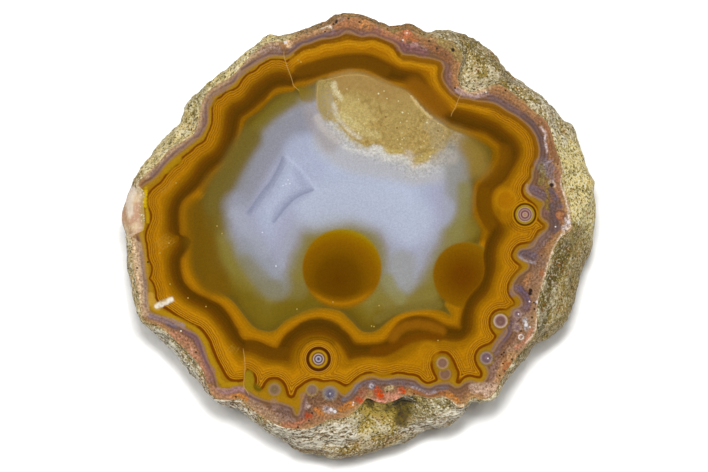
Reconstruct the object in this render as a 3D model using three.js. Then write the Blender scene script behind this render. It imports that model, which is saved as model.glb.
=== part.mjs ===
// A banded agate: half of a rough nodule, sawn through and polished on the sawn face.
// It lies on its worn back with the polished face up. Millimetres, +Z up, and the origin is
// under the middle of the stone, on the surface that it lies on.
import * as THREE from "three";
import { ImprovedNoise } from "three/addons/math/ImprovedNoise.js";
import { mergeVertices } from "three/addons/utils/BufferGeometryUtils.js";

// Driving dimensions
const STONE_WIDTH = 95; // across the widest part, left to right
const THICKNESS = 28; // from the surface it lies on up to the polished face
const FOOT_SHARE = 0.58; // the worn foot underneath, as a share of the stone's widest radius
const FLAT_SHARE = 2 / 3; // the part of that foot that is truly flat, as a share of the foot

// Both outlines are read from the photograph, in its pixels, clockwise from the notch at the top.
const STONE_WIDTH_PX = 475;
const CENTRE_PX = [358.5, 235.75];
const MM_PER_PX = STONE_WIDTH / STONE_WIDTH_PX;

// The waist: the stone's outline where it is widest, some way below the polished face.
const WAIST_PX = [
  [279, 38], [285, 36], [297, 33.5], [306, 29], [320, 24.5], [331, 20.5], [335, 15.5], [342, 14],
  [353, 15], [364, 17], [374, 22], [384, 25], [391, 29.5], [398, 29], [404, 26.5], [411, 27],
  [418, 31.5], [427, 34.5], [434, 34.5], [440, 30.5], [450, 32], [462, 34], [471, 35.5], [477, 40],
  [484, 45], [491, 51], [497, 57], [501, 66], [505, 76], [518, 85], [530, 91], [541, 97.5],
  [552, 106], [560, 117], [564, 122.5], [573, 127], [577, 141], [585, 158], [588, 172], [592, 175],
  [595.5, 181], [593.5, 190], [596, 208], [595.5, 222], [592, 243], [588, 257], [581, 270],
  [578, 287], [573.5, 304], [567, 319], [553, 334], [540, 342], [530, 347], [522, 360], [512, 373],
  [504, 382], [496, 395], [486, 399.5], [480, 401.5], [474.5, 397.5], [469, 405], [462, 416],
  [446, 426], [424, 431], [408, 439], [392, 446], [376, 451], [360, 455], [345, 457.5],
  [328, 456.5], [312, 454], [296, 450.5], [284, 440], [268, 431], [254, 417], [243, 409],
  [230, 406], [216, 401], [207, 391], [193, 373], [178, 354], [162, 343], [151, 328], [143, 323],
  [139, 312], [135, 296], [130, 277], [127.5, 262], [128.5, 249], [127, 236], [122.5, 227],
  [121, 217], [123, 207], [127, 197], [129, 189], [137, 177], [142, 164], [151, 156], [160, 146],
  [168, 140], [171, 132], [179, 127], [184, 115], [191, 101], [206, 88], [221, 74.5], [238, 61],
  [255, 46], [266, 36.5], [274, 33],
];

// The edge of the sawn face. Where it lies well inside the waist, the rough skin shows from above.
const FACE_EDGE_PX = [
  [280, 41.5], [288, 40], [305, 34], [320, 28.5], [332, 23], [338, 17.5], [352, 17], [366, 19.5],
  [378, 25.5], [390, 32], [398, 32], [404, 29.5], [411, 30.5], [418, 34], [427, 37.5], [441, 38.5],
  [449, 41.5], [457, 47], [463, 56], [460, 66], [458, 77], [460, 86], [466, 90.5], [474, 92],
  [484, 88.5], [496, 84.5], [504, 86.5], [517, 96], [530, 108], [545, 120], [551, 131], [556, 149],
  [561, 162], [563, 170], [561, 182], [565, 193], [569.5, 204], [571, 219], [572, 229], [561, 237],
  [554, 249], [549, 263], [545, 278], [540, 292], [537, 309], [536.5, 330], [528, 344], [516, 358],
  [508, 368], [501, 380], [492, 395.5], [480, 399.5], [474, 396.5], [469, 400], [464, 406.5],
  [458, 407.5], [450, 400], [441, 397], [430, 398.5], [418, 395.5], [405, 395.5], [396, 400],
  [384, 403], [375, 401], [367, 398], [361, 405], [352, 413], [342, 418], [328, 419.5],
  [313, 427.5], [298, 429], [282, 427], [266, 419], [252, 409], [242, 399.5], [228, 400.5],
  [215, 397.5], [208, 388], [203, 371], [191, 355], [178, 343], [166, 331], [156, 325], [146, 321],
  [141, 311], [139, 296], [135, 278], [133, 262], [132, 246], [133, 235.5], [143, 230], [144.5, 217],
  [143.5, 204], [144.5, 192], [138, 184.5], [145, 175], [158, 163], [170, 149], [186, 139.5],
  [195, 132], [199, 117], [204, 97], [216, 85], [232, 76], [246, 60.5], [262, 46], [272, 41.5],
];

// How far below the polished face the stone is widest, in millimetres, against the compass angle
// from +X. It is shallow at the broken chip on the left, and deep along the right and the bottom.
const WAIST_DEPTHS = [
  [0, 12], [12, 11], [28, 8], [45, 8], [58, 11], [70, 8], [90, 5], [110, 5], [128, 6], [143, 8],
  [160, 5], [170, 3.4], [177, 3.2], [184, 6], [200, 7], [214, 6], [228, 5], [240, 8], [256, 14],
  [270, 16], [286, 15], [300, 8], [312, 5], [325, 9], [340, 13],
];

// Hollows and lumps of the rough skin: where they are in the photograph, how far below the
// face, how wide they are and how far they go in (-) or stand out (+), in millimetres.
const SKIN_FEATURES = [
  { name: "left hollow under the face", at: [365, 405], below: 2.5, wide: 3.2, out: -3.4 },
  { name: "right hollow under the face", at: [402, 408], below: 4, wide: 3.6, out: -3.8 },
  { name: "shelf along the bottom", at: [345, 440], below: 11, wide: 7, out: 1.2 },
  { name: "bottom right lump", at: [436, 412], below: 7, wide: 5, out: 1.2 },
  { name: "top right boulder", at: [486, 66], below: 4, wide: 4.5, out: 1.3 },
  { name: "pocket beside the boulder", at: [466, 74], below: 1.8, wide: 2.6, out: -2 },
  { name: "right shoulder", at: [586, 190], below: 8, wide: 6, out: 0.9 },
  { name: "crease below the shoulder", at: [576, 243], below: 8, wide: 3.4, out: -1.7 },
  { name: "lower right ledge", at: [560, 300], below: 8, wide: 6, out: 1 },
  { name: "slot under the left edge", at: [170, 345], below: 3.5, wide: 3, out: -1.2 },
];

// Mesh: columns go round the stone, rows go down it from the middle of the face.
const COLUMNS = 168;
const FACE_ROWS = 2;
const UPPER_ROWS = 9; // from the edge of the face to the waist
const LOWER_ROWS = 11; // from the waist to the foot
const FOOT_ROWS = 3; // the last of them is the middle of the foot
const ROWS = FACE_ROWS + UPPER_ROWS + LOWER_ROWS + FOOT_ROWS;

// Lumpiness of the skin: the lumps' sizes, and how far they move the surface. The broad lumps
// are round, and the ledges between them have sharp crests.
const BROAD_LUMPS = { size: 13, height: 4 };
const LEDGES = { size: 8, height: 2.6 };
const CALM_ABOVE = 0.3; // the lumps' share between the face and the waist
const CALM_FOOT = 0.25; // and their share at the worn foot
const BACK_SMOOTHING = THREE.MathUtils.degToRad(16); // the back has none of the outline's jags
const noise = new ImprovedNoise();

const planFromPhoto = ([px, py]) =>
  new THREE.Vector2((px - CENTRE_PX[0]) * MM_PER_PX, (CENTRE_PX[1] - py) * MM_PER_PX);

// Value at an angle, from [angle, value] pairs sorted by angle, round a full circle.
function aroundCircle(pairs, angle) {
  const turn = 2 * Math.PI;
  const wanted = ((angle % turn) + turn) % turn;
  let after = pairs.findIndex(([a]) => a > wanted);
  if (after < 0) after = 0;
  const before = (after + pairs.length - 1) % pairs.length;
  const [a0, v0] = pairs[before];
  const [a1, v1] = pairs[after];
  const span = (a1 - a0 + turn) % turn || turn;
  const share = ((wanted - a0 + turn) % turn) / span;
  return THREE.MathUtils.lerp(v0, v1, share);
}

// Radius of a closed outline at each compass angle, through a smooth curve on its points.
function radialOutline(pixels) {
  const points = pixels.map((p) => {
    const plan = planFromPhoto(p);
    return new THREE.Vector3(plan.x, plan.y, 0);
  });
  const curve = new THREE.CatmullRomCurve3(points, true, "centripetal");
  const turn = 2 * Math.PI;
  const pairs = curve
    .getPoints(points.length * 6)
    .map((p) => [(Math.atan2(p.y, p.x) + turn) % turn, Math.hypot(p.x, p.y)])
    .sort((a, b) => a[0] - b[0]);
  return (angle) => aroundCircle(pairs, angle);
}

const waistRadius = radialOutline(WAIST_PX);
const faceRadius = radialOutline(FACE_EDGE_PX);

// The outline of the stone's back: the waist averaged over a short arc.
function backRadius(angle) {
  const steps = [-1, -0.5, 0, 0.5, 1];
  const sum = steps.reduce((total, step) => total + waistRadius(angle + step * BACK_SMOOTHING), 0);
  return sum / steps.length;
}

const depthPairs = WAIST_DEPTHS.map(([degrees, depth]) => [THREE.MathUtils.degToRad(degrees), depth]);
const waistDepth = (angle) => aroundCircle(depthPairs, angle);

// The side of the stone before its lumps: out from the face's edge to the waist as a quarter
// wave, then round and under to the foot as a quarter ellipse. Returns [radius, height].
function sideProfile(angle, row) {
  const edge = faceRadius(angle);
  const waist = Math.max(waistRadius(angle), edge + 0.15);
  const waistHeight = THICKNESS - waistDepth(angle);
  if (row <= UPPER_ROWS) {
    const share = row / UPPER_ROWS;
    const swell = Math.sin((share * Math.PI) / 2);
    return [edge + (waist - edge) * swell, THICKNESS - share * waistDepth(angle)];
  }
  const share = (row - UPPER_ROWS) / LOWER_ROWS;
  const back = backRadius(angle);
  const girth = THREE.MathUtils.lerp(waist, back, Math.min(1, 2.5 * share));
  const foot = back * FOOT_SHARE;
  const bend = share * (Math.PI / 2);
  return [foot + (girth - foot) * Math.cos(bend), waistHeight * (1 - Math.sin(bend))];
}

function lumpHeight(point) {
  const wave = (size, stretch) =>
    noise.noise(point.x / size, point.y / size, (point.z * stretch) / size);
  const crest = 0.5 - 2 * Math.abs(wave(LEDGES.size, 2));
  return BROAD_LUMPS.height * wave(BROAD_LUMPS.size, 1) + LEDGES.height * crest;
}

function featureHeight(point) {
  let sum = 0;
  for (const { at, below, wide, out } of SKIN_FEATURES) {
    const plan = planFromPhoto(at);
    const centre = new THREE.Vector3(plan.x, plan.y, THICKNESS - below);
    sum += out * Math.exp(-((point.distanceTo(centre) / wide) ** 2));
  }
  return sum;
}

// A point of the rough skin. Lumps fade out at the face's edge and at the waist, whose outlines
// are known, and the back keeps clear of the ground.
function skinPoint(angle, row) {
  const [radius, height] = sideProfile(angle, row);
  const point = new THREE.Vector3(Math.cos(angle) * radius, Math.sin(angle) * radius, height);
  const fromEdge = Math.min(1, row / 2);
  const fromWaist = Math.min(1, Math.abs(row - UPPER_ROWS) / 4);
  const toFoot = Math.max(0, row - UPPER_ROWS) / LOWER_ROWS;
  const calm = row < UPPER_ROWS ? CALM_ABOVE : THREE.MathUtils.lerp(1, CALM_FOOT, toFoot);
  const feature = featureHeight(point);
  const held = feature > 0 ? fromWaist : 1;
  const move = fromEdge * (lumpHeight(point) * fromWaist * calm + feature * held);
  const flank = Math.atan2(THICKNESS * 0.5 - height, radius * 0.5);
  point.x += Math.cos(angle) * move * Math.cos(flank);
  point.y += Math.sin(angle) * move * Math.cos(flank);
  point.z -= move * Math.sin(flank);
  point.z = THREE.MathUtils.clamp(point.z, 0, THICKNESS - 0.05 * row);
  return point;
}

// A point of the worn foot, from its rim (share 1) to its middle (share 0).
function footPoint(angle, share) {
  const rim = skinPoint(angle, UPPER_ROWS + LOWER_ROWS);
  const flat = share <= FLAT_SHARE;
  const height = flat ? 0 : rim.z * ((share - FLAT_SHARE) / (1 - FLAT_SHARE));
  return new THREE.Vector3(rim.x * share, rim.y * share, height);
}

function stonePoint(angle, row) {
  if (row <= FACE_ROWS) {
    const radius = (faceRadius(angle) * row) / FACE_ROWS;
    return new THREE.Vector3(Math.cos(angle) * radius, Math.sin(angle) * radius, THICKNESS);
  }
  const down = row - FACE_ROWS;
  if (down <= UPPER_ROWS + LOWER_ROWS) return skinPoint(angle, down);
  return footPoint(angle, (ROWS - row) / FOOT_ROWS);
}

// A sphere's grid gives the closed surface: its rows and columns are moved onto the stone.
function stoneGeometry() {
  const sphere = new THREE.SphereGeometry(1, COLUMNS, ROWS);
  const position = sphere.getAttribute("position");
  for (let row = 0; row <= ROWS; row += 1) {
    for (let column = 0; column <= COLUMNS; column += 1) {
      const angle = ((column % COLUMNS) / COLUMNS) * 2 * Math.PI + Math.PI;
      const point = stonePoint(angle, row);
      position.setXYZ(row * (COLUMNS + 1) + column, point.x, point.y, point.z);
    }
  }
  sphere.deleteAttribute("normal");
  sphere.deleteAttribute("uv");
  const closed = mergeVertices(sphere, 1e-4);
  closed.computeVertexNormals();
  return closed;
}

const agate = new THREE.Mesh(
  stoneGeometry(),
  new THREE.MeshStandardMaterial({ color: 0xb07a12, roughness: 0.25, metalness: 0 }),
);
agate.name = "agate";

const part = new THREE.Group();
part.add(agate);

export default part;
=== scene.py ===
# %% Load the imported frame
import math

import bpy
import numpy as np
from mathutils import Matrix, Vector, noise
from mathutils.bvhtree import BVHTree
from mathutils.geometry import delaunay_2d_cdt


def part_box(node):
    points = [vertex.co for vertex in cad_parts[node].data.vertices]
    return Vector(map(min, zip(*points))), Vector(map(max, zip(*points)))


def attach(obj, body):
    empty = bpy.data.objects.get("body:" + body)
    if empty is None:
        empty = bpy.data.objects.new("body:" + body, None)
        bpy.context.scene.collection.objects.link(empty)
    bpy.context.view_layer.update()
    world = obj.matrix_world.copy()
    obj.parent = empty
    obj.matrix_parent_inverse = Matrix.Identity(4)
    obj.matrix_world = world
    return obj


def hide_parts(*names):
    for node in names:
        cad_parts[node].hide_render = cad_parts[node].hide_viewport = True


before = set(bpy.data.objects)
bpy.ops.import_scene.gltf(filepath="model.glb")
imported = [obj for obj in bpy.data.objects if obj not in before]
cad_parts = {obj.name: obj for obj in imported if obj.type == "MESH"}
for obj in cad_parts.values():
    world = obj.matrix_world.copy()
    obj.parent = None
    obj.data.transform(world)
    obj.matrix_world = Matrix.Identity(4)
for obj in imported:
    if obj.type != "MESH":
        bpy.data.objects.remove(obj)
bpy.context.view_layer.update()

# %% [markdown]
# The object is half of an agate nodule. A saw cut it, a polishing wheel made the cut face
# glossy, and the rough skin that the stone grew inside its rock was left round it.
# It lies on its back, and the photograph looks straight down at the polished face.
# Every place on the stone is read from the photograph in pixels. One pixel is 0.2 mm at the
# height of the face, so one function turns pixels into millimetres on the stone.

# %% Pixels of the photograph to millimetres on the stone
PHOTO_WIDTH_PX, PHOTO_HEIGHT_PX = 708, 472
MM_PER_PX = 0.2
ORIGIN_PX = np.array([358.5, 235.75])  # the pixel over the frame's origin
FACE_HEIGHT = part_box("agate")[1].z * 1000  # mm, the polished face


def on_stone(pixels):
    """Pixels of the photograph as millimetres: x to the right, y up the picture."""
    offset = (np.asarray(pixels, dtype=float) - ORIGIN_PX) * MM_PER_PX
    return offset * [1, -1]


def read_path(text):
    """A path written as "x,y x,y | x,y x,y" in pixels. A bar is a break where a crack moved it."""
    return [
        on_stone([[float(v) for v in pair.split(",")] for pair in piece.split()])
        for piece in text.split("|")
    ]


print("face at", round(FACE_HEIGHT, 2), "mm; photo is", PHOTO_WIDTH_PX * MM_PER_PX, "mm wide there")

# %% [markdown]
# The camera hangs straight above the face, as the photographer's did. It stands three metres
# away with a long lens, because then the skin, which is lower than the face, is drawn at the
# same scale as the face. A short lens would draw the lower parts smaller.

# %% Camera
CAMERA_DISTANCE = 3.0
SENSOR_WIDTH = 36.0
camera_data = bpy.data.cameras.new("view_from_above")
camera_data.sensor_width = SENSOR_WIDTH
camera_data.lens = SENSOR_WIDTH * CAMERA_DISTANCE * 1000 / (PHOTO_WIDTH_PX * MM_PER_PX)
camera = bpy.data.objects.new("view_from_above", camera_data)
picture_middle = on_stone([PHOTO_WIDTH_PX / 2, PHOTO_HEIGHT_PX / 2]) / 1000
camera.location = (picture_middle[0], picture_middle[1], FACE_HEIGHT / 1000 + CAMERA_DISTANCE)
bpy.context.scene.collection.objects.link(camera)
bpy.context.scene.camera = camera
print("lens", round(camera_data.lens, 1), "mm")

# %% [markdown]
# Agate grows inwards from the wall of a hole in lava, one thin layer after another. A cut
# shows the layers as nested rings. So the face isn't painted ring by ring here: seven growth
# fronts are read from the photograph, from the sawn edge to the heart, and every colour is
# placed by how far a point lies from the nearest fronts. The fine bands then follow the fronts
# by themselves, also round the bulges, as they do in the stone.

# %% The growth fronts, clockwise from the crack at the top left
FRONTS = {
    # the edge of the sawn face
    "edge": """280,41.5 288,40 305,34 320,28.5 332,23 338,17.5 352,17 366,19.5 378,25.5 390,32 398,32
    404,29.5 411,30.5 418,34 427,37.5 441,38.5 449,41.5 457,47 463,56 460,66 458,77 460,86 466,90.5
    474,92 484,88.5 496,84.5 504,86.5 517,96 530,108 545,120 551,131 556,149 561,162 563,170 561,182
    565,193 569.5,204 571,219 572,229 561,237 554,249 549,263 545,278 540,292 537,309 536.5,330
    528,344 516,358 508,368 501,380 492,395.5 480,399.5 474,396.5 469,400 464,406.5 458,407.5 450,400
    441,397 430,398.5 418,395.5 405,395.5 396,400 384,403 375,401 367,398 361,405 352,413 342,418
    328,419.5 313,427.5 298,429 282,427 266,419 252,409 242,399.5 228,400.5 215,397.5 208,388 203,371
    191,355 178,343 166,331 156,325 146,321 141,311 139,296 135,278 133,262 132,246 133,235.5 143,230
    144.5,217 143.5,204 144.5,192 138,184.5 145,175 158,163 170,149 186,139.5 195,132 199,117 204,97
    216,85 232,76 246,60.5 262,46 272,41.5""",
    # grey outer layer to yellow
    "yellow": """286,57 290,55.5 294,52.5 299,48.5 304,45 310,44 316,41.5 322,39.5 330,39 337,37.5 341,36
    344,34 347,31.8 351,33 356,35.5 362,37.5 368,36 373,35.5 378,37.5 383,39.5 388,41.5 393,43.5
    397,46 399,50 402,54 406,55.5 414,56 420,58 428,58.5 436,60.5 441,62.5 443.5,66.5 442,71 441,76
    443,82 447,87.5 451,92 455,96 460,98.8 462,99 468,99.5 474,101 480,102 487,102.5 494,104 500,107
    505,110.5 510,113.5 516,116.5 522,121 528,126 532,131 535,136 537,142 538.5,149 538,156 536,161
    533.5,167 532,172 531.5,178 529,183 527,187 526.5,191 529,194.5 533,197 538,199.5 542,201.5
    543,204 541,207.5 540,212 540.5,217 543,220.5 547,223 547,227 544.5,231 540,234.5 537,238 535,242
    532,246 527,247.5 521,248.5 517.5,251.5 516.5,255 518,258.5 522,261 526,262.5 528,265 527,268.5
    523,271.5 518,275 514.5,279.5 512,284 511.5,288.5 513,293 517,296.5 520,300 521,304 518,306.5
    513,308 510.5,311 510.5,314 507,316.5 504,315.5 500,314 496,316 493.7,320 494,325 497,328.5
    502,329 505,328.5 506,331 504,335 501,338.5 498,342 495.5,346 493,350 488,351.5 484,351.5 481,354
    480,358 481,362 484,365.5 486.5,369 487.3,374 485,379 481,382.5 477,382 472,380.5 467,381 463,383
    460,385.5 456,386.5 452,384 449,382.5 445,382.5 440,382.8 435,384 430,386.5 425,386 420,383
    416,379.5 410,377.8 402,376.8 395,377 388,378.5 381,378.5 376,376.5 370,375.8 366,376.5 362,379
    358,381.5 354,385.5 352,389 349.5,393 346,395.3 342,394 339,391 335,387.5 330,386 325,387
    321.5,389.5 317,387.5 313,385.5 309,386.5 306,389.5 303.5,393.5 302,398 300.5,404 299.5,410
    297,414.5 294.5,411 293,407 288,404.5 283,403 278,401.5 272,401 266,400 260,398 254,395.5 249,392
    246,389.5 244,387 | 243,386.5 239,385.5 234,386 229,388 225,389 221,388.5 218,384.5 217,379
    215,373 212,366.5 209,361 206.5,355 204,348 202,342 199,336 194,332 187,329 180,325 173,320.5
    166,317 158,314.5 151,311.5 148.5,306 148.5,298 148,290 148,283 146.5,277 145.5,270 144.5,263
    144,256 143.5,249 142,242 140,236.5 138.5,233 136,225 136,210 138,198 141,189 146,184 150,182
    155,178.5 160,173 164,168 168,163 173,158 179,152.5 185,149 190,144 195,140 200,138 203,133.5
    205.5,129 208.5,123 209,115 208.5,107 210,101 213,96.5 218,92.5 224,89 230,86.3 235.5,83.5
    238,79.5 240.5,75 244,71 249,68 255,64.5 260,61.5 266,58 272,56.3 278,56.3 284,57""",
    # yellow to ochre, with the thin rust-red line on it
    "rust": """286.5,61.5 291,58 296,54 300.5,50.5 304.5,47.8 311,47.5 317,45.8 321,43 327,42 333,42
    338,41 342,39.8 346,38.8 352,38.8 358,39.8 364,40.2 369,38.5 373,38 378,39.8 383,41.8 388,43.5
    392,46 395,49 397.5,53 400,56.3 404,58 411,58.3 417,60 424,61.3 431,62 437,63.5 439.5,67 439,72
    439.5,78 441.5,83.5 445,89 449.5,94 454,98 458,101 460,101.5 466,102 472,103 479,104.5 486,106
    493,107 499,109.5 504,113.5 509,116 515,119 520,123 526,128 530,132.5 533,138 534.5,144 535.5,150
    535,157 533.5,162 531,167 530,172 530,177 527,181 523.5,185 522,190 523,194.5 526.5,198.5 531,202
    535,205.5 537,209 537,214 537.5,219 541,222.5 544,225 543.5,228.5 539,230.5 536.5,234 534,238.5
    531,242 526,243 520,244 515.5,247.5 512.5,252 512,256.5 514.5,261 518.5,264 521,267 518,270.5
    513.5,275.5 510,281 508,287 508.5,292.5 511,297.5 514,301.5 514.5,304.5 510,307 507,309.5
    503,309.5 498,309.8 493.5,312.5 490.5,317 489.5,322.5 490.5,328 493,332.5 495.5,336 493.5,340
    489.5,343.8 484,345.8 479.5,348.3 476.5,352 475,356.5 475.3,361 477,365.5 479.8,369.5 481.5,373.5
    480.5,377 476,377 470.5,375.6 465.5,376.6 462,379.3 459.5,382.5 457,382 458,377 458.3,372 456,367
    454,362 451,356.5 447,353 442,352 437,353.5 433,357.5 431.5,362.5 432,368 434,373 436,377
    436.5,380 433,381.5 429,382.8 425,382.3 421.5,379.5 418.5,376.5 414,374.8 408,374.2 402,373
    397,372.8 391,374.3 386,375.5 381,375.5 376,373.8 370,372.6 364.5,373.8 359.5,376.2 354.5,380
    350.5,383.8 347,385.5 343,384.5 339,382.3 334.5,381 329,381 324,381.5 319,380 314,379 309,380.3
    304.5,382.8 300,386 296.5,388.8 295,392.5 293.5,396 290.5,397 288,394.5 287,390.5 285.5,386
    282.5,381.5 278.5,378.7 273.5,378 268.5,379.3 265,382.8 263,386.8 260,389.5 256.5,388.8
    254.8,385.5 256,381 255,376 251.5,371.8 247,369.3 | 243,380 236,381 230,379.5 226,375.5 223.5,371
    220.5,365.5 217.5,360 215,354 212.5,348 210.5,342 207.5,337 204,332 200.5,328.3 196,326
    190.5,323.5 185,320.5 180,317.5 174.5,314 169,310 164,307 159,303 156.3,298 155.7,292 154.5,286.5
    152,281.5 149.5,278.5 151,275 152,270 151.5,265.5 149.5,261 148,257 147.5,250 146.8,244
    145.5,238.5 146,233 147.5,228 149.5,223.5 151,219 151,214.5 149.5,210 147.5,206 147,200 147.3,196
    149.5,192.5 152,189.5 155.5,186.3 159.5,183.3 162.5,180.3 164.5,177 166.5,174.3 169.5,171
    173,167.5 177,164.5 180.5,161.5 181.8,158.5 184.5,156 188,153.5 191.5,150.8 194,147.8 197.5,145
    201.5,143 205,140 206.7,136 208,132 210.3,128 211.7,123 212.3,117 212,111 212.5,105.5 214,101.5
    217.5,98.5 221.5,96.5 224.5,93 228.5,90.8 233.5,89.5 237.5,87 240,83.5 242.5,79.5 245.5,76
    249,73.3 253,71.8 257,69 259.5,65.8 263.5,63.5 267.5,61.3 271,59.5 277,58.8 283.5,59.8""",
    # ochre to dark brown
    "brown": """289.5,75.5 294,71 300,66.3 306,63.5 312,61.5 320,58.5 330,56 340,54 350,52.8 360,52.5
    368,53 375,54.7 382,58 388,61 394,64 400,67 406,68.3 412,69.5 418,71 423,74.5 427,79.5 430,85
    434,91 438,96.5 443,102 448,107.5 452.5,112 | 456,108.5 462,110 468,111.7 475,114 482,116.7
    489,119.5 495,122 500,125 505,129 510,133 515,138 518,143 520.2,148.5 520.5,154 519,160 516,165.5
    513,170.5 510,176 506.5,181 502,185 497.5,187.8 494,191.5 492,197 491.7,203 493,209.5 496,215
    500,220 503,225.5 504.5,231 502.5,236.5 499.3,242 497,249 496,256 496.3,263 495.5,270 493.5,277
    491.5,284 489.5,290 486,295.5 481.5,300 477.5,305 474.5,311 473.2,318 473,325 471.5,331 468,336.5
    463,340.5 457,342 450,341.8 443,340.5 435,339 427,338.3 419,338.5 413,340 407.5,343.2 403,348
    399,352.7 393.5,356 386,357.2 378,357.3 370,357.2 362,357.8 355,359 349,360.3 346.5,357
    343.5,351.5 340,346.5 335.5,341.5 330.5,338 324.5,335.7 318,335 311,335.8 304.5,338 299,341.5
    295,346.5 292,352 290,358 288.3,361.8 283,361 276,360.3 269,359.5 262,357 256,354 250,352.2
    244.5,351.3 | 243,352.5 240,350 236.5,346 232.5,342 229,338 226,333.5 223,329 220,325 216.5,321
    213,317 208.5,312.5 203.5,309 198,306 192,303.3 187,300 182.5,296 178.8,291.5 175.3,286.5
    172.5,281 170.5,275 169.3,268.5 169,262 170,256.5 172.5,251 175.5,246 178,241 178.5,237 |
    174,235.5 170,233 168,230 167.5,224 167.7,217 168,211 169.3,205.5 171,200.5 174,195.5 178,190.5
    182,186 186.5,181 190.5,176.5 193.5,172 196.5,167 199.5,162.5 203.5,158.5 208.5,155 213.5,152
    216.8,147.5 219.5,142.5 221.8,136.5 223,130 224,124 225,118 226.3,113 229,108 232.5,104
    237.5,101.7 242,99 246,94.7 249.3,90 252.5,86 256.5,82.8 261,79.5 265.5,76.5 270,74 275,72.3
    281,71.7 287.5,72.5""",
    # dark brown to orange
    "orange": """293,83.5 297,81 303,79.8 309,78.8 315,77 320,75.2 325,73.5 330,72 335,70.5 341,69
    348,67.8 356,67.2 363,67.6 370,69.5 376,72.3 381,76 386,79.2 392,80.3 398,81.2 404,82.3 408,84.2
    413,87.5 418,91.5 424,97 430,103.5 436,110 441,115.5 446,120 452,124 458,126.8 465,128.5 472,130
    479,131 485,132.5 490,136 494.5,139.5 499.5,143 503.5,146.5 507,150.5 508,155.5 506.5,161
    503.5,166 500.5,170.5 497,175.5 491.5,179.5 485.5,183 481,187 478.5,192.5 477.3,199 477.8,206
    479.5,212.5 482,218.5 485,223.5 488.5,228 490.5,232 488.5,236.5 486.3,241.5 484.5,248 483,255
    483.5,262.5 484,269.5 483,276.5 480,283 476,288 472,292.3 468.8,296.5 466,301 464,306.5
    462.5,312.5 461,319 460.3,324.5 460.3,328 455,327.5 449,326.5 443,324.5 437.5,321.5 432.5,318.8
    426,316.8 419,316 412,316.5 405.5,318.5 400,321.5 395.5,326.5 391.5,333 387,339.5 380,343 371,344
    362.5,344 356,343 352.5,340 349.3,335.3 345.8,331.8 341.5,328.5 336.5,325 331.5,322.3 326,320.3
    320,319.2 314,319.5 308,320.8 302,323 296.5,326.2 291.5,330 287,333.5 283.3,337.8 280.3,342.8
    277.3,347.8 272.5,347.3 267,345 261,342.3 255,340.7 249.5,340.3 244.5,340 241,337 239,333.5
    237.8,329.5 235,325.5 232.5,320.5 229.5,315.5 226,311 222,306.3 217.5,303 212.5,300.8 207.5,298
    202,295.7 196.5,293 191.5,289.7 187.5,286 184.3,282 182.3,276.5 181,270.5 180.5,264.5 181,259
    184,254 187.5,249 189.8,244.5 191,240.5 | 187,237 182,235.5 179.8,233.5 179.5,227 179,220 179,212
    180.3,205.5 182.5,201 186,197.2 190,194 195.5,189.7 200,184.5 204,179.5 208,174.3 212.5,169.3
    217.5,165 223,161 228,156 231.3,150.5 233.3,144.5 235.3,138.5 237,132.5 238,126.5 239.3,121
    241.5,116.8 245.5,114 249.5,111 253.5,107.8 257,104.3 261,101.5 264.5,98.7 267.3,95.7 270.3,92
    273.5,89 277.5,87 283,86 289,85.8 292.5,86.2""",
    # orange to olive, or to the quartz at the top
    "olive": """296,88.5 302,88.2 308,87 313.5,84.7 318,81.7 323,79.8 328,79 333,78 338.5,76.5 344,75
    351,73.8 358,73.2 364,74 369,76.5 374,79 379,81.3 384.5,83.7 390,86 396,87.8 402,88.8 407,91
    411,95 414.5,99.5 418,104 422,108.7 426.5,113.3 431,118 436,121.5 441,124.5 446,128 451,130
    457,132.3 463,134.5 469,137.3 475,140 481,143 487,146.5 490.5,150 491,155 489.5,160.5 486.5,165.5
    483,170.5 479.5,175.5 475.8,179 473,183.5 471,189 470.2,196 470,204 470.3,211.5 472,218.5
    475,223.5 478.7,228 480,232.5 479,238 478,250 475,265 469,280 460,291 450,299 444,303.5 447,309
    450,314.5 445,312 440,310 434,308.8 427,308.2 419,308.5 411,309.7 404,311.7 398,314.2 392.5,317.5
    387.5,321.5 383,325.3 378.5,329 374,331.3 369,332.2 364.5,331.7 360.5,329.7 357,326.7 353.5,322.7
    349.5,318.7 345.5,314.8 342.5,312 338,310 330,308.5 320,307.5 313,307.8 306,309.7 300,312.5
    294,315.8 288.5,318.5 283.5,321.7 279.5,326 275,329.8 269.5,331.2 263.5,330.6 257.5,328.7
    253,325.7 249.3,321.7 246,317.5 243,313.7 240,309.7 237,305.7 233.5,302 229.3,298.3 224.5,294.8
    219.5,291.7 214.5,288.8 209.7,286 205,282.7 201.3,279.3 198.2,275.2 195.7,270.5 194.7,264.5
    194,258 193.7,251 194,244 194.3,236 194.2,228 194,220 194,213 195.5,207.3 198.5,202.8 202.5,198.7
    206,194 209.3,189 213,184 216.5,179 220.5,174 225.3,169.7 230,165 234.3,159.7 237.8,154 240,148
    241.5,141.5 243,135 244,129 245.5,123.2 248.5,118.8 252.7,116 257.3,113.3 261,110.5 264.3,107
    268,103 272,98.5 276,95.7 281,94 287,93 293,92""",
    # the soft limit of the lavender heart
    "heart": """300,102 290,105 283,111 276,117 269,124 263,130 258,140 253,150 247,160 242,170 238,180
    233,190 229,200 227,210 227,220 229,231 234,243 241,255 250,268 258,279 267,285 276,287 284,284
    291,275 295,264 299,249 305,236 316,226 330,220 346,219 360,224 371,233 379,246 383,260 384,274
    388,287 398,293 411,290 419,284 425,274 430,264 436,254 443,246 451,240 458,232 462,217 463,200
    464,185 467,172 467,160 465,150 458,143 450,138 430,120 400,98 360,84 320,90""",
}
CLOSED_FRONTS = ("edge", "heart")  # the others end at the crack where they begin
print(len(FRONTS), "fronts,", sum(len(text.split()) for text in FRONTS.values()), "points")

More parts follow.
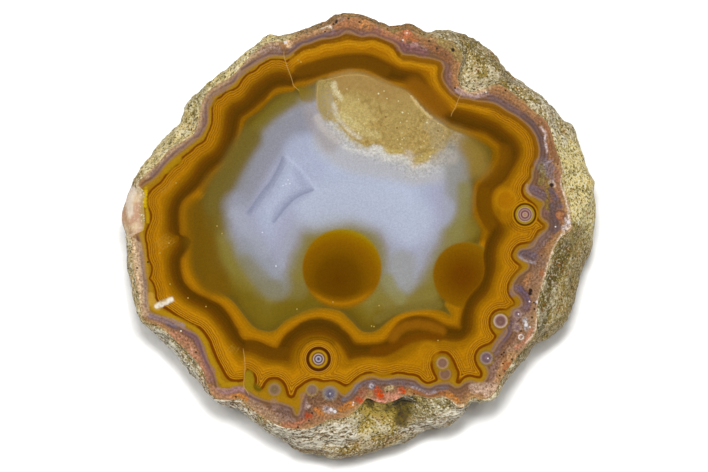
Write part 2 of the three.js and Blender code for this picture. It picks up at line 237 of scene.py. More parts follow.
# %% [markdown]
# The readings are a few pixels apart, so a smooth curve is drawn through them. Distances and
# sides are then worked out for many points at once with numpy, because a loop over forty
# thousand points in Python would take minutes.

# %% Smooth curves
CURVE_CUTS = 3  # pieces that each step between two readings is cut into


def smooth_curve(points, closed=False):
    """A Catmull-Rom curve through the points."""
    if closed:
        around = np.vstack([points[-1:], points, points[:2]])
    else:
        around = np.vstack([points[:1], points, points[-1:]])
    before, start, end, after = around[:-3], around[1:-2], around[2:-1], around[3:]
    steps = []
    for share in np.arange(CURVE_CUTS) / CURVE_CUTS:
        steps.append(
            0.5 * (2 * start + (end - before) * share
                   + (2 * before - 5 * start + 4 * end - after) * share**2
                   + (3 * start - before - 3 * end + after) * share**3)
        )
    curve = np.stack(steps, axis=1).reshape(-1, 2)
    return np.vstack([curve, points[:1] if closed else points[-1:]])


curves = {
    name: [smooth_curve(piece, name in CLOSED_FRONTS) for piece in read_path(text)]
    for name, text in FRONTS.items()
}
print("curve links:", {name: sum(len(p) for p in pieces) for name, pieces in curves.items()})

# %% [markdown]
# At three places a crack shifted the bands before it healed, so they jump sideways there. Bands
# on one side take no notice of the other side: a distance is never measured across a fault.

# %% Distances and insides
FAULTS_PX = {
    "top left": [(282, 36), (302, 104)],
    "top right": [(466, 85), (449, 122)],
    "bottom left": [(243, 338), (245, 400)],
}
FAULT_REACH = 30 * MM_PER_PX
FAULT_ENDS = 1.0  # mm that a fault works past its ends
ACROSS = 1e3  # mm, a link on the other side of a fault is as good as out of reach
POINTS_AT_ONCE = 3000  # keeps numpy's tables of points by links small


def fault_sides(points):
    """For each point and each fault: -1 or 1 for its side, or 0 if the fault is far away."""
    sides = np.zeros((len(points), len(FAULTS_PX)), dtype=np.float32)
    for column, ends in enumerate(FAULTS_PX.values()):
        start, end = on_stone(ends)
        length = np.linalg.norm(end - start)
        along = (end - start) / length
        offset = points - start
        down = offset @ along
        across = offset[:, 0] * along[1] - offset[:, 1] * along[0]
        near = (down > -FAULT_ENDS) & (down < length + FAULT_ENDS) & (np.abs(across) < FAULT_REACH)
        sides[:, column] = np.where(near, np.sign(across), 0)
    return sides


def blocks_of(points):
    """The numbers of the points, in blocks."""
    return np.array_split(np.arange(len(points)), max(1, len(points) // POINTS_AT_ONCE))


def distance_to(pieces, points):
    """The shortest distance from each point to the links of the curves."""
    starts = np.vstack([piece[:-1] for piece in pieces]).astype(np.float32)
    links = np.vstack([np.diff(piece, axis=0) for piece in pieces]).astype(np.float32)
    squares = np.maximum((links**2).sum(axis=1), 1e-9)
    link_sides = fault_sides(starts + links / 2)
    point_sides = fault_sides(points)
    result = np.empty(len(points))
    for block in blocks_of(points):
        x = points[block, 0:1].astype(np.float32) - starts[:, 0]
        y = points[block, 1:2].astype(np.float32) - starts[:, 1]
        share = np.clip((x * links[:, 0] + y * links[:, 1]) / squares, 0, 1)
        gap = np.hypot(x - share * links[:, 0], y - share * links[:, 1])
        gap[point_sides[block] @ link_sides.T < 0] = ACROSS
        result[block] = gap.min(axis=1)
    return result


def is_inside(ring, points):
    """True for each point in the closed ring, where a line to the right crosses it an odd number of times."""
    x0, y0 = ring[:, 0], ring[:, 1]
    x1, y1 = np.roll(x0, -1), np.roll(y0, -1)
    rise = np.where(y1 == y0, 1e-9, y1 - y0)
    result = np.empty(len(points), dtype=bool)
    for block in blocks_of(points):
        x, y = points[block, 0:1], points[block, 1:2]
        spans = (y0 <= y) != (y1 <= y)
        result[block] = (spans & (x < x0 + (y - y0) * (x1 - x0) / rise)).sum(axis=1) % 2 == 1
    return result


print("faults:", ", ".join(FAULTS_PX))

# %% [markdown]
# Crystals that catch the light, and pits where a grain fell out of the outer layer, are only a
# pixel or two wide. They are written down as specks: a colour, a radius and the places. The net
# of the face gets its own small star of corners round each of them, so that they stay crisp.

# %% Specks
SPECKS = {  # colour, radius in pixels, places in pixels
    "pits": ("#3a2a1e", 0.8, """342,17 348.5,18.5 359.5,22 333.5,24 362.5,18.5 312,31.5 325,31.5
        378,25 437,48.5 429,41 534,302.5 534.5,309 532,317.5 521,331 504,352.5 501.5,354.5 512,359.5
        503,363.5 505,371 499.5,375.5 298,427 505.5,90.5 455,88 387,391.5 312,413 339,420.5 445,398.5
        414,394 148,262 137,268 196,352 236,397"""),
    "wide pits": ("#30221a", 1.5, "453,50 530.5,290.5 530,293.5 336,21.5 551.5,185"),
    "white grains": ("#ded2c8", 0.7, """555.5,226.7 488,358.3 518.5,314 529.5,301.5 353.5,402.5
        353,405 486,92 181,331 323,28 331,27 403,40 526,322 530,327"""),
    "white crystals": ("#d8d0d0", 1.4, "537.5,302 331,409.5 335,411.5 568.5,222 526,325 285.5,42"),
    "sparkles": ("#c9bb88", 0.6, """335,82 334.5,88 336.5,92 338,95 333,94 341,97.5 336,101
        339.5,115 346,117 350.5,118 352,121.5 354.5,124.5 348,124 364,123.5 358.5,133 371,133 373,135
        377,133 384,91 387,98.5 398.5,101 400.5,122.5 407,121 402,133 400.5,144 402,148 392,151
        438,123.5 411,96 416,101 421,107.5 426,114 345,121 361,129 367,131 404,138 424,141 421,147
        433,148 409,158 339.5,91 331,86"""),
    "bright sparkles": ("#d4c89c", 0.8, "378.5,93.5 402.5,112.5 427,122.5 430,156.5 338.5,93 358.5,133"),
    "heart sparkles": ("#c8ccdc", 0.7, "288,180 290,183.5 286,184 283,185.5 262.5,232.5 276,266"),
    "band sparkles": ("#b8964a", 0.6, """371.5,326 374,326.5 297,309 333,302 379,305.5 438,340.5
        170,284 188,298 206,306.5 222,233.5 217,226 176,183 298,60 301,62 169,243 160,253"""),
    "brown grains": ("#80602e", 0.7, "397,128 385.5,117 438,131"),
}
SPECK_HALO = 1.6  # a speck has faded out at this many radii


def read_places(text):
    """Places in pixels, as millimetres on the stone."""
    return on_stone([[float(v) for v in pair.split(",")] for pair in text.split()])


speck_places = np.vstack([read_places(text) for _, _, text in SPECKS.values()])
speck_radii = np.concatenate([
    np.full(len(text.split()), radius) for _, radius, text in SPECKS.values()
]) * MM_PER_PX
print("specks:", len(speck_places))

# %% [markdown]
# The visible stone is one closed mesh. Its polished top is a fine, even net of triangles inside
# the sawn edge: the growth distances are stored at its corners, so the corners are close
# together where the stone is busy, and further apart in the smooth heart. A triangle fan or a
# circular net would bunch up in the middle, so Blender's Delaunay function joins even fields of
# points instead.

# %% Net of the polished face
EDGE_STEPS = 640
NET_SPACING = {"rim": 0.27, "bands": 0.4, "heart": 0.55}  # mm, 1.3 to 2.8 pixels of the photograph
RIM_MARGIN = 0.5  # mm, how far the fine net of the outer layer reaches into the bands
HEART_MARGIN = 1.2  # mm inside its front from which the heart is smooth enough for the widest net
STAR_POINTS, STAR_GAP = 6, 0.06  # corners of a speck's star, and mm that the net keeps off it
EDGE_GAP = 0.2  # mm, no loose point is closer to the edge than this

edge_curve = curves["edge"][0]
edge_lengths = np.concatenate([[0], np.cumsum(np.hypot(*np.diff(edge_curve, axis=0).T))])
edge_stations = np.linspace(0, edge_lengths[-1], EDGE_STEPS, endpoint=False)
edge_points = np.column_stack([np.interp(edge_stations, edge_lengths, edge_curve[:, k]) for k in (0, 1)])
edge_next = np.roll(edge_points, -1, axis=0)
twice_area = np.sum(edge_points[:, 0] * edge_next[:, 1] - edge_next[:, 0] * edge_points[:, 1])
if twice_area < 0:
    edge_points = edge_points[::-1]  # anticlockwise, as seen from above
low, high = edge_points.min(axis=0), edge_points.max(axis=0)


def even_field(spacing):
    """Points in rows inside the sawn edge, each row shifted by half a step."""
    rows = []
    for row, y in enumerate(np.arange(low[1], high[1], spacing * math.sqrt(3) / 2)):
        columns = np.arange(low[0] + spacing / 2 * (row % 2), high[0], spacing)
        rows.append(np.column_stack([columns, np.full(len(columns), y)]))
    points = np.vstack(rows)
    return points[is_inside(edge_points, points)]


def depth_inside(front_name, points):
    """How far inside a front each point is, or a negative distance outside it."""
    away = distance_to(curves[front_name], points)
    return np.where(is_inside(np.vstack(curves[front_name]), points), away, -away)


rim_field, band_field, heart_field = (even_field(spacing) for spacing in NET_SPACING.values())
rim_field = rim_field[depth_inside("yellow", rim_field) < RIM_MARGIN]
band_field = band_field[depth_inside("yellow", band_field) >= RIM_MARGIN]
band_field = band_field[depth_inside("heart", band_field) < HEART_MARGIN]
heart_field = heart_field[depth_inside("heart", heart_field) >= HEART_MARGIN]
field = np.vstack([rim_field, band_field, heart_field])

star_turns = np.arange(STAR_POINTS) * 2 * math.pi / STAR_POINTS
star = np.column_stack([np.cos(star_turns), np.sin(star_turns)])
stars = [speck_places]
for reach in (1.0, SPECK_HALO):
    stars.append((speck_places[:, None] + star * (speck_radii * reach)[:, None, None]).reshape(-1, 2))
for place, radius in zip(speck_places, speck_radii):
    field = field[np.hypot(*(field - place).T) > radius * SPECK_HALO + STAR_GAP]
field = np.vstack([field, *stars])
field = field[is_inside(edge_points, field)]
field = field[distance_to([np.vstack([edge_points, edge_points[:1]])], field) > EDGE_GAP]

plan = np.vstack([edge_points, field])
made = delaunay_2d_cdt([Vector(p) for p in plan], [], [list(range(EDGE_STEPS))], 1, 1e-6)
face_plan = np.array([list(v) for v in made[0]])
face_triangles = [list(f) for f in made[2]]
assert all(ids[0] == k for k, ids in enumerate(made[3][:EDGE_STEPS])), "the net changed its edge"
print("polished face:", len(face_plan), "points,", len(face_triangles), "triangles")

# %% [markdown]
# The rough skin hangs from the sawn edge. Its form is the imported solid's: rays from the middle
# of the stone find that surface, column by column, from the edge down to the middle of the foot.
# The columns start evenly spaced along the edge, and turn to even angles lower down. The rows
# are close together near the edge, where the photograph shows the skin, and wider underneath.

# %% Form of the skin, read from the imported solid
SKIN_ROWS = 78
ROW_CROWDING = 1.7  # above 1, the rows crowd together near the face
RAYS_DOWN = 110
STRAIGHTEN_BY = 0.35  # the share of the way down at which the columns stand at even angles
RAY_HEIGHT = 14.0  # mm, where the rays start on the stone's axis
RAY_TILTS = 19, -90  # degrees, from just under the face to straight down
UNDER_FACE = 0.25  # mm, rays that hit the face or its very edge are left out
PROFILES = 480  # compass angles at which the solid is read
HOLD_ROWS = 6  # the first rows hang from the edge itself

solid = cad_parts["agate"]
solid_tree = BVHTree.FromPolygons(
    [solid.matrix_world @ v.co * 1000 for v in solid.data.vertices],
    [tuple(p.vertices) for p in solid.data.polygons],
)
ray_start = Vector((0, 0, RAY_HEIGHT))


def solid_profile(angle):
    """The solid's surface at a compass angle, from under the face to the foot: rows of x, y, z."""
    found = []
    for tilt in np.linspace(*map(math.radians, RAY_TILTS), RAYS_DOWN):
        level = math.cos(tilt)
        ray = Vector((math.cos(angle) * level, math.sin(angle) * level, math.sin(tilt)))
        hit = solid_tree.ray_cast(ray_start, ray)[0]
        if hit is not None and hit.z < FACE_HEIGHT - UNDER_FACE:
            found.append(hit[:])
    return np.array(found)


edge_angles = np.unwrap(np.arctan2(edge_points[:, 1], edge_points[:, 0]))
even_angles = edge_angles[0] + np.arange(EDGE_STEPS) * 2 * math.pi / EDGE_STEPS
profile_angles = np.linspace(0, 2 * math.pi, PROFILES, endpoint=False)
row_shares = (np.arange(SKIN_ROWS + 1) / SKIN_ROWS) ** ROW_CROWDING


def along_profile(points):
    """The same profile at the wanted rows, as radius and height."""
    flat = np.column_stack([np.hypot(points[:, 0], points[:, 1]), points[:, 2]])
    run = np.concatenate([[0], np.cumsum(np.hypot(*np.diff(flat, axis=0).T))])
    return np.column_stack([np.interp(row_shares * run[-1], run, flat[:, k]) for k in (0, 1)])


# by angle and row, each a radius and a height
profiles = np.stack([along_profile(solid_profile(a)) for a in profile_angles])
profiles = np.concatenate([profiles, profiles[:1]])
profile_angles = np.append(profile_angles, 2 * math.pi)

skin = np.empty((SKIN_ROWS + 1, EDGE_STEPS, 3))
edge_radius = np.hypot(edge_points[:, 0], edge_points[:, 1])
for row in range(SKIN_ROWS + 1):
    turn = min(1, row_shares[row] / STRAIGHTEN_BY)
    angles = edge_angles + (even_angles - edge_angles) * (turn * turn * (3 - 2 * turn))
    radius = np.interp(angles % (2 * math.pi), profile_angles, profiles[:, row, 0])
    height = np.interp(angles % (2 * math.pi), profile_angles, profiles[:, row, 1])
    hold = max(0, 1 - row / HOLD_ROWS)
    top_radius = np.interp(angles % (2 * math.pi), profile_angles, profiles[:, 0, 0])
    radius = radius + hold * (edge_radius - top_radius)
    height = height + hold * (FACE_HEIGHT - profiles[0, 0, 1])
    skin[row] = np.column_stack([radius * np.cos(angles), radius * np.sin(angles), height])
skin[0] = np.column_stack([edge_points, np.full(EDGE_STEPS, FACE_HEIGHT)])
print("skin:", skin.shape[0] * skin.shape[1], "points, lowest", round(skin[..., 2].min(), 3), "mm")

# %% [markdown]
# The skin grew against soft ash and clay, so it is a crust of small knobs, pits and flakes.
# They are real relief here, made by moving each point along its normal. Only the grain under
# half a millimetre is left to bump.
# The broken chip at the left is smooth, and the foot is worn flat.

# %% Relief of the skin
KNOB_SIZE, KNOB_HEIGHT = 3.4, 0.42  # mm
CRUST_SIZE, CRUST_HEIGHT = 1.5, 0.3
PIT_SPACING, PIT_DEPTH, PIT_WIDTH = 1.9, 0.55, 0.36
CRUST_OCTAVES, CRUST_LEVEL = 3, 0.5  # layers of ever finer crust, and their mean
CHIP_PX = ((133, 212), 5.5)  # its middle, and its reach in mm
SMOOTH_PLACES = {  # pixels of the photograph, and how many millimetres around them stay smooth
    "broken chip": CHIP_PX,
    "pale side": ((584, 190), 9.0),
    "pale side below": ((588, 225), 6.0),
}
SMOOTH_SHARE = 0.25  # of the relief is left there
SMOOTH_CORE = 0.3  # square of the share of its reach in which a place is smoothest
EDGE_FADE_ROWS, FOOT_FADE = 3, 1.5  # rows and mm over which the relief begins
BELOW_FACE = 0.04  # mm, the skin stays this far below the face

across = np.roll(skin, -1, axis=1) - np.roll(skin, 1, axis=1)
down = np.gradient(skin, axis=0)
normals = np.cross(down, across)
normals /= np.maximum(np.linalg.norm(normals, axis=2, keepdims=True), 1e-9)
if normals[SKIN_ROWS // 3, :, :2].ravel() @ skin[SKIN_ROWS // 3, :, :2].ravel() < 0:
    normals = -normals

relief = np.zeros(skin.shape[:2])
for row in range(1, SKIN_ROWS + 1):
    for column in range(EDGE_STEPS):
        spot = Vector(skin[row, column])
        knobs = noise.noise(spot / KNOB_SIZE)
        crust = CRUST_LEVEL - noise.turbulence(spot / CRUST_SIZE, CRUST_OCTAVES, False)
        nearest = noise.voronoi(spot / PIT_SPACING)[0][0] * PIT_SPACING
        pit = max(0.0, 1 - (nearest / PIT_WIDTH) ** 2)
        relief[row, column] = KNOB_HEIGHT * knobs + CRUST_HEIGHT * crust - PIT_DEPTH * pit
calm = np.ones(skin.shape[:2])
for place, reach in SMOOTH_PLACES.values():
    away = np.hypot(*(skin[..., :2] - on_stone(place)).transpose(2, 0, 1)) / reach
    rough = np.clip(away**2 - SMOOTH_CORE, 0, 1)
    calm = np.minimum(calm, SMOOTH_SHARE + (1 - SMOOTH_SHARE) * rough)
fade = np.clip(np.arange(SKIN_ROWS + 1) / EDGE_FADE_ROWS, 0, 1)[:, None]
fade = fade * np.clip(skin[..., 2] / FOOT_FADE, 0.0, 1)
skin_points = skin + normals * (relief * calm * fade)[..., None]
skin_points[..., 2] = np.clip(skin_points[..., 2], 0, FACE_HEIGHT - BELOW_FACE)
skin_points[0] = skin[0]
print("relief from", round(relief.min(), 2), "to", round(relief.max(), 2), "mm")

# %% [markdown]
# Face and skin share the corners of the sawn edge, so the stone is closed. The middle of the
# foot is one point, and a fan of triangles closes it.

# %% One closed mesh
face_points = np.column_stack([face_plan, np.full(len(face_plan), FACE_HEIGHT)])
lower_rows = skin_points[1:SKIN_ROWS].reshape(-1, 3)
foot_middle = skin_points[SKIN_ROWS].mean(axis=0) * [1, 1, 0]
all_points = np.vstack([face_points, lower_rows, foot_middle])


def skin_index(row, column):
    """Where a skin point is in the mesh: row 0 is the face's own edge."""
    column %= EDGE_STEPS
    return column if row == 0 else len(face_points) + (row - 1) * EDGE_STEPS + column


faces = list(face_triangles)
for row in range(SKIN_ROWS - 1):
    for column in range(EDGE_STEPS):
        faces.append([
            skin_index(row, column), skin_index(row + 1, column),
            skin_index(row + 1, column + 1), skin_index(row, column + 1),
        ])
last = len(all_points) - 1
lowest = SKIN_ROWS - 1
faces += [[skin_index(lowest, c), last, skin_index(lowest, c + 1)] for c in range(EDGE_STEPS)]

stone_mesh = bpy.data.meshes.new("agate_stone")
stone_mesh.from_pydata((all_points / 1000).tolist(), [], faces)
stone_mesh.update()
stone = bpy.data.objects.new("agate_stone", stone_mesh)
bpy.context.scene.collection.objects.link(stone)
on_face = np.arange(len(faces)) < len(face_triangles)
stone_mesh.polygons.foreach_set("use_smooth", ~on_face)
stone_mesh.polygons.foreach_set("material_index", (~on_face).astype(np.int32))
print("stone:", len(all_points), "points,", len(faces), "faces,", int(on_face.sum()), "on the face")

# %% [markdown]
# Each growth front gets its distance stored at every corner of the mesh: negative outside the
# front, positive inside it. A signed distance runs evenly through zero, so the shader finds the
# front between the corners more sharply than the net itself is spaced.

# %% Growth distances on the face
FAR = 12.0  # mm, distances are cut off here
field_of = {name: np.clip(depth_inside(name, face_plan), -FAR, FAR) for name in curves}

# The eyes interrupt the ochre bands, which bend round them as they do round the wall.
BAND_EYES_PX = {"great eye": ((318.5, 359), 12.5), "right eye": ((525, 214.5), 10.5)}
wrap = np.maximum(field_of["rust"], 0)
for place, radius in BAND_EYES_PX.values():
    wrap = np.minimum(wrap, np.abs(np.hypot(*(face_plan - on_stone(place)).T) - radius * MM_PER_PX))
field_of["wrap"] = wrap


def store(name, values, kind="FLOAT"):
    """Stores one value or colour per corner of the whole mesh. The skin gets the last one given."""
    full = np.empty((len(all_points),) + np.shape(values)[1:], dtype=np.float32)
    full[: len(values)] = values
    full[len(values):] = values[-1]
    layer = stone_mesh.attributes.new(name, kind, "POINT")
    layer.data.foreach_set("value" if kind == "FLOAT" else "color", full.ravel())


for name, values in field_of.items():
    store(name, values)
print({name: (round(v.min(), 2), round(v.max(), 2)) for name, v in field_of.items()})

# %% [markdown]
# Stains, crystals and rusty patches follow no front, so they are painted on the mesh with soft
# brush strokes, as a restorer would retouch a cast. Each line of a table is one stroke: what it
# stands for, then its half width and soft border in pixels, its colour and its strength, then
# its path. The strokes inside the bands lie under the discs and eyes.

# %% Brush strokes inside the bands
def linear(code):
    """A colour written as an sRGB hex value, as the linear red, green, blue and alpha of a shader."""
    parts = [int(code[i : i + 2], 16) / 255 for i in (1, 3, 5)]
    return [p / 12.92 if p <= 0.04045 else ((p + 0.055) / 1.055) ** 2.4 for p in parts] + [1.0]


def read_strokes(table):
    """The strokes of a table. An indented line goes on with the path above it."""
    strokes = {}
    for row in table.replace("\n    ", " ").split("\n"):
        if "|" in row:
            name, brush, path = row.split("|")
            half_width, soft, *code, strength = brush.split()
            strokes[name.strip()] = path, float(half_width), float(soft), *code, float(strength)
    return strokes


def stroke_share(path, half_width, soft, points):
    """How much a soft stroke covers each point, 0 to 1."""
    line = read_places(path)
    line = np.vstack([line, line[-1] + 1e-3])
    away = distance_to([line], points) / MM_PER_PX
    share = np.clip(1 - (away - half_width) / soft, 0, 1)
    return share * share * (3 - 2 * share)


def paint(strokes, points):
    """Lays the strokes over each other: red, green, blue and cover for each point."""
    colour, cover = np.zeros((len(points), 3)), np.zeros((len(points), 1))
    for path, half_width, soft, code, strength in strokes.values():
        share = strength * stroke_share(path, half_width, soft, points)[:, None]
        colour = colour * (1 - share) + np.array(linear(code)[:3]) * share
        cover = cover * (1 - share) + share
    return np.hstack([colour / np.maximum(cover, 1e-6), cover])


def amount(strokes, points, ground=0.0):
    """A single value painted the same way, from strokes that have a value and no colour."""
    result = np.full(len(points), ground)
    for path, half_width, soft, value in strokes.values():
        share = stroke_share(path, half_width, soft, points)
        result = result * (1 - share) + value * share
    return result


INNER_STROKES = read_strokes("""
# the yellow and ochre layers
top dark layer | 1.1 1.9 #704304 0.9 | 296,53 302,49 309,46.5 318,43 328,40.8 340,37.5 347,35.2
    354,37.2 366,38 376,38.5 384,41 391,44.5 396,49 399,54.5
right dark layer | 1.9 2.2 #7e5008 0.9 | 404,57.5 414,58.5 426,60.5 438,62.5 441,67 440,76 443,85
    451,93 458,99.5 470,100.8 480,103 487,104.8 494,106.6 503,112 511,115.5 520,121 528,127.5
    533,134 536,142 537,150 536,158 533,165
yellow by the chip | 1 1.4 #b89410 0.7 | 146,188 145.5,196 146,206 147.5,214 148,222
yellow below the chip | 1.2 1.8 #a8822c 0.6 | 141,231 143,244 145.5,262 147,276
lower left yellow | 1.3 1.8 #a8800e 0.7 | 150,300 153,308 162,312.5 180,320 194,327.5 203,338
    209,354 215,367 219,379 224,385 236,384
upper left yellow | 0.9 1.4 #9a7316 0.75 | 150,184 160,175 170,165 182,154 196,143 205,135 209,124
    210,108 217,95 232,87 243,74 256,64 270,57 284,57.5
upper left bulge | 3 2 #a07a0c 0.7 | 166,170 174,162 178,160
pale lower corner | 3.2 1.6 #bd9238 0.7 | 150.5,296 152,302 157,307
bottom yellow | 1.6 2.2 #9e700a 0.7 | 262,394 272,398.5 283,399 290,402 297,405 302,394 307,386
    320,385 334,384 344,391 352,386 362,378 376,375 390,376.5
lower body | 2.8 2.6 #8c7612 0.7 | 249,374 250,380 249,388
dark knot | 1.8 2.2 #66560c 0.8 | 256,386.5 259,389.5
right yellow | 1.5 1.6 #8c620e 0.5 | 531,170 528,181 526,190 531,197 539,203 538,212 542,220 546,226
    537,236 528,245 517,249 514,256 523,265 512,279 510,290 518,302 507,311 493,317 493,327 503,331
    494,344 480,352 478,360
# the brown and orange layers
brown at the top | 3.5 5 #674104 0.75 | 300,70.5 315,67.5 330,64.5 345,62.5 360,62.5 372,66 384,71
brown above the quartz | 4 11 #84520a 0.85 | 414,87 423,93 432,100 440,107
brown in the right bend | 4 5 #694104 0.75 | 505,150 506,158 503,166 498,174 490,181 484,188
third disc | 4 5 #6e4502 0.8 | 484,194 485,205 487,216 490,224
ochre by the third disc | 4 6 #9e6805 0.6 | 505,195 508,207 506,216
pale brown of the valley | 1.6 6.5 #885509 0.85 | 393,338 398,331 406,326 418,324 430,326 441,331
dark brown of the valley | 2.5 4.5 #693c02 0.85 | 374,351.5 386,350 398,346 410,341 424,338
    438,337.5
ochre under the valley | 2 4 #8a5c05 0.65 | 392,358 402,353 412,347 424,344 440,346 454,347
brown before the arch | 3 4 #6b4205 0.5 | 250,344 258,348 268,352 278,354 284,352
arch top | 1.5 2.5 #503606 0.6 | 302,325 310,321.5 320,320.5 330,322.5 338,327
# the olive layer
left umber | 9 13 #6a4b08 0.85 | 200,214 201,240 206,262 214,280
left umber low | 3 9 #70500a 0.6 | 212,282 224,290
bottom olive | 6 10 #6f5b14 0.7 | 252,302 266,318 292,306 312,300
bottom khaki | 5 9 #776a38 0.75 | 262,288 280,290 298,290
bottom right khaki | 2 12 #7f7136 0.8 | 388,302 400,300 414,299 430,296
bottom right olive | 2.4 4 #75652a 0.7 | 378,319 392,311 406,308 422,306 438,305
right khaki | 3 14 #7f7440 0.8 | 450,236 458,233 464,229
right olive | 3 9 #7a671f 0.6 | 469,222 472,230
upper right khaki | 4 15 #8a7032 0.8 | 454,139 464,146 474,156 477,166
upper left green | 3 8 #6f601a 0.7 | 290,101 274,112 260,125 251,139 240,156
green by the quartz | 4 6 #7d6618 0.7 | 300,94 310,96
# the lavender heart
left veil | 5 14 #67541c 0.6 | 216,186 214,204 218,222
upper left veil | 7 14 #7f7f86 0.72 | 300,122 285,131 272,143 262,157 252,174 240,192
calm upper left | 7 16 #9fa5ba 0.8 | 300,150 312,170 300,196
grey between the discs | 7 12 #90908c 0.8 | 403,262 402,282
khaki beside the disc | 3 7 #857e4e 0.8 | 388,280 392,290 400,298
upper left umber | 6 11 #6a5a24 0.9 | 250,139 239,155 229,173 221,191 217,205
lower left veil | 6 14 #9193a2 0.6 | 236,206 240,222 250,240 266,256
lower left fade | 7 14 #86888c 0.6 | 250,250 258,262 267,274 276,284
lower left edge | 3 10 #7a7350 0.6 | 246,262 256,272 266,283 276,290
haze under the quartz | 6 14 #a9a8aa 0.8 | 326,142 340,154 358,163 382,168 412,173 436,170
grey by the quartz | 4 9 #978e8c 0.65 | 312,112 318,128 330,144
right grey | 6 11 #868379 0.75 | 448,152 456,166 457,190
right haze | 1.5 10 #7f7640 0.8 | 464,188 464,204 461,218 453,232
light middle | 12 22 #acb3c5 0.75 | 318,206 350,200 392,206 410,222
frosted left | 3 8 #a2a5b2 0.35 | 236,214 246,226 256,238 264,250
shade in the fissure | 1.2 4.5 #878b9f 0.5 | 282.5,160 279,171 272,183 264,193 256,204 250,212
glow in the fissure | 2.5 4.5 #a7adc2 0.6 | 293,176 287,186 278,197 268,208
shade right of the fissure | 3 5 #959ab0 0.6 | 298,172 305,184 306,191 298,196 288,203 279,212
light wall | 0.6 2.2 #b2b9cf 0.6 | 287,157 299,168 308,179 316,188
# the quartz
quartz brown top | 6 7 #9b7b45 0.85 | 336,84 350,80 362,82 376,88 390,94 403,100
quartz pale left | 5 9 #b9a568 0.75 | 349,106 352,112 363,117
quartz amber | 10 10 #a28a50 0.6 | 404,110 402,122 396,136
quartz grey right | 5 6 #a08e66 0.75 | 432,126 440,134 438,146
dusty strip | 4.2 3 #9a864e 1 | 322,85 322,94 323,106 327,116
dusty strip edge | 3.4 3 #a28d56 0.9 | 330,84 329,96 331,107 336,118
crystal curve | 1.4 2.6 #dcd3ae 0.6 | 334,84 335,90 338,95 341,98
crystal curve low | 1 2.6 #cfc8b4 0.65 | 334,104 336,112 340,120 346,127 352,133 360,138
crystal fans | 3 3 #c0b37c 0.6 | 341,115 348,120 354,125
crystal fans low | 3 3.5 #bfae74 0.6 | 358,128 366,132 376,136
edge streak | 0.6 1.5 #cdb680 0.8 | 412,97.5 418,105 424,111.5 431,117.5
frost left | 2.5 4 #b3aca6 0.75 | 318,118 322,126 330,133 338,140
frost low | 1.4 2.4 #bfbcb8 0.85 | 344,146 352,150 362,152.5 372,153.5
frost patch | 3.2 2.6 #c6c4be 0.9 | 374,149 380,150 384,153
frost middle | 2.2 2.6 #c3c0b9 0.9 | 386,158 394,156.5 402,158 407,160
frost line | 1.2 2 #c0bcb4 0.85 | 410,163 414,167 422,166.5 430,163 438,160
frost knot | 2 2.4 #b9ab98 0.8 | 408,152 412,158 414,165
gold left over | 3 3 #ad9650 0.8 | 418,160 424,158 434,154
gold tail | 1.6 2 #b39c58 0.8 | 386,150 392,152 400,152
haze right | 3.5 6 #a0998f 0.8 | 436,160 444,156 452,158
""")
store("inner_tint", paint(INNER_STROKES, face_plan), "FLOAT_COLOR")
print("strokes inside the bands:", len(INNER_STROKES))

# %% [markdown]
# Three more values are painted: how strongly the fine lines show in the ochre layer, how bright
# the orange layer is, and how softly the brown layer ends. They change from place to place, so
# each has a table of strokes too, with a value where the others have a colour and a strength.

# %% Values painted on the face
# how strong the lines are: 0 faint, 0.5 fine, 1 strong
LINE_STRENGTH = read_strokes("""
top | 8 10 0.05 | 296,50 330,40 360,38 390,46 410,60 436,66
corner | 8 8 0.2 | 443,84 456,100 480,106
lower left | 9 8 1 | 166,308 186,320 200,328 212,344 222,366 232,378
bottom arcs | 8 7 0.95 | 250,384 262,380 275,377 290,394 300,386 320,380 340,384 356,378 372,372
bottom right arcs | 8 7 0.8 | 400,375 428,383 442,352 458,376 476,378 478,352 490,336 492,318
right lobes | 7 8 0.78 | 526,183 532,198 541,212 545,226 532,244 515,251 518,264 510,285
""")
LINE_GROUND = 0.5
# how bright the orange layer is, as a share of its own colour
ORANGE_TONE = read_strokes("""
upper left | 9 7 0.62 | 206,182 216,172 228,158 235,144 240,130 246,118 258,108 268,99.5
top left | 7 7 0.74 | 276,93 288,89 300,86 312,82 322,79
top | 8 8 0.8 | 340,72 360,70 384,78 404,90
left | 9 7 0.84 | 187,192 187,214 189,230 192,246 198,262 206,276
right | 9 7 0.68 | 498,150 492,144 482,139 470,136 455,131 440,121 424,106
bend | 9 6 0.64 | 491,158 490,168 480,180 474,190 472,206 476,219 480,230
foot | 7 7 0.9 | 462,296 463,306 460,318 450,324 436,320
""")
# over how many millimetres the brown layer fades out
BROWN_SOFTNESS = read_strokes("""
top | 10 8 0.7 | 296,74 330,62 360,60 390,70 416,86 440,106
right bend | 8 8 0.6 | 500,140 508,156 496,178 484,200 486,226
valley | 9 8 0.6 | 346,352 380,350 404,334 430,330 456,334
right | 6 6 0.35 | 494,250 490,280 478,304
""")
SOFTNESS_GROUND = 0.22
store("line_strength", amount(LINE_STRENGTH, face_plan, LINE_GROUND))
store("orange_tone", amount(ORANGE_TONE, face_plan, 1.0))
store("brown_softness", amount(BROWN_SOFTNESS, face_plan, SOFTNESS_GROUND))

# %% [markdown]
# The outer layer is the oldest: a mauve and brown crust of many small growths, with rusty
# patches, salmon beads along the bottom and a whitish rind where the saw left it thin.

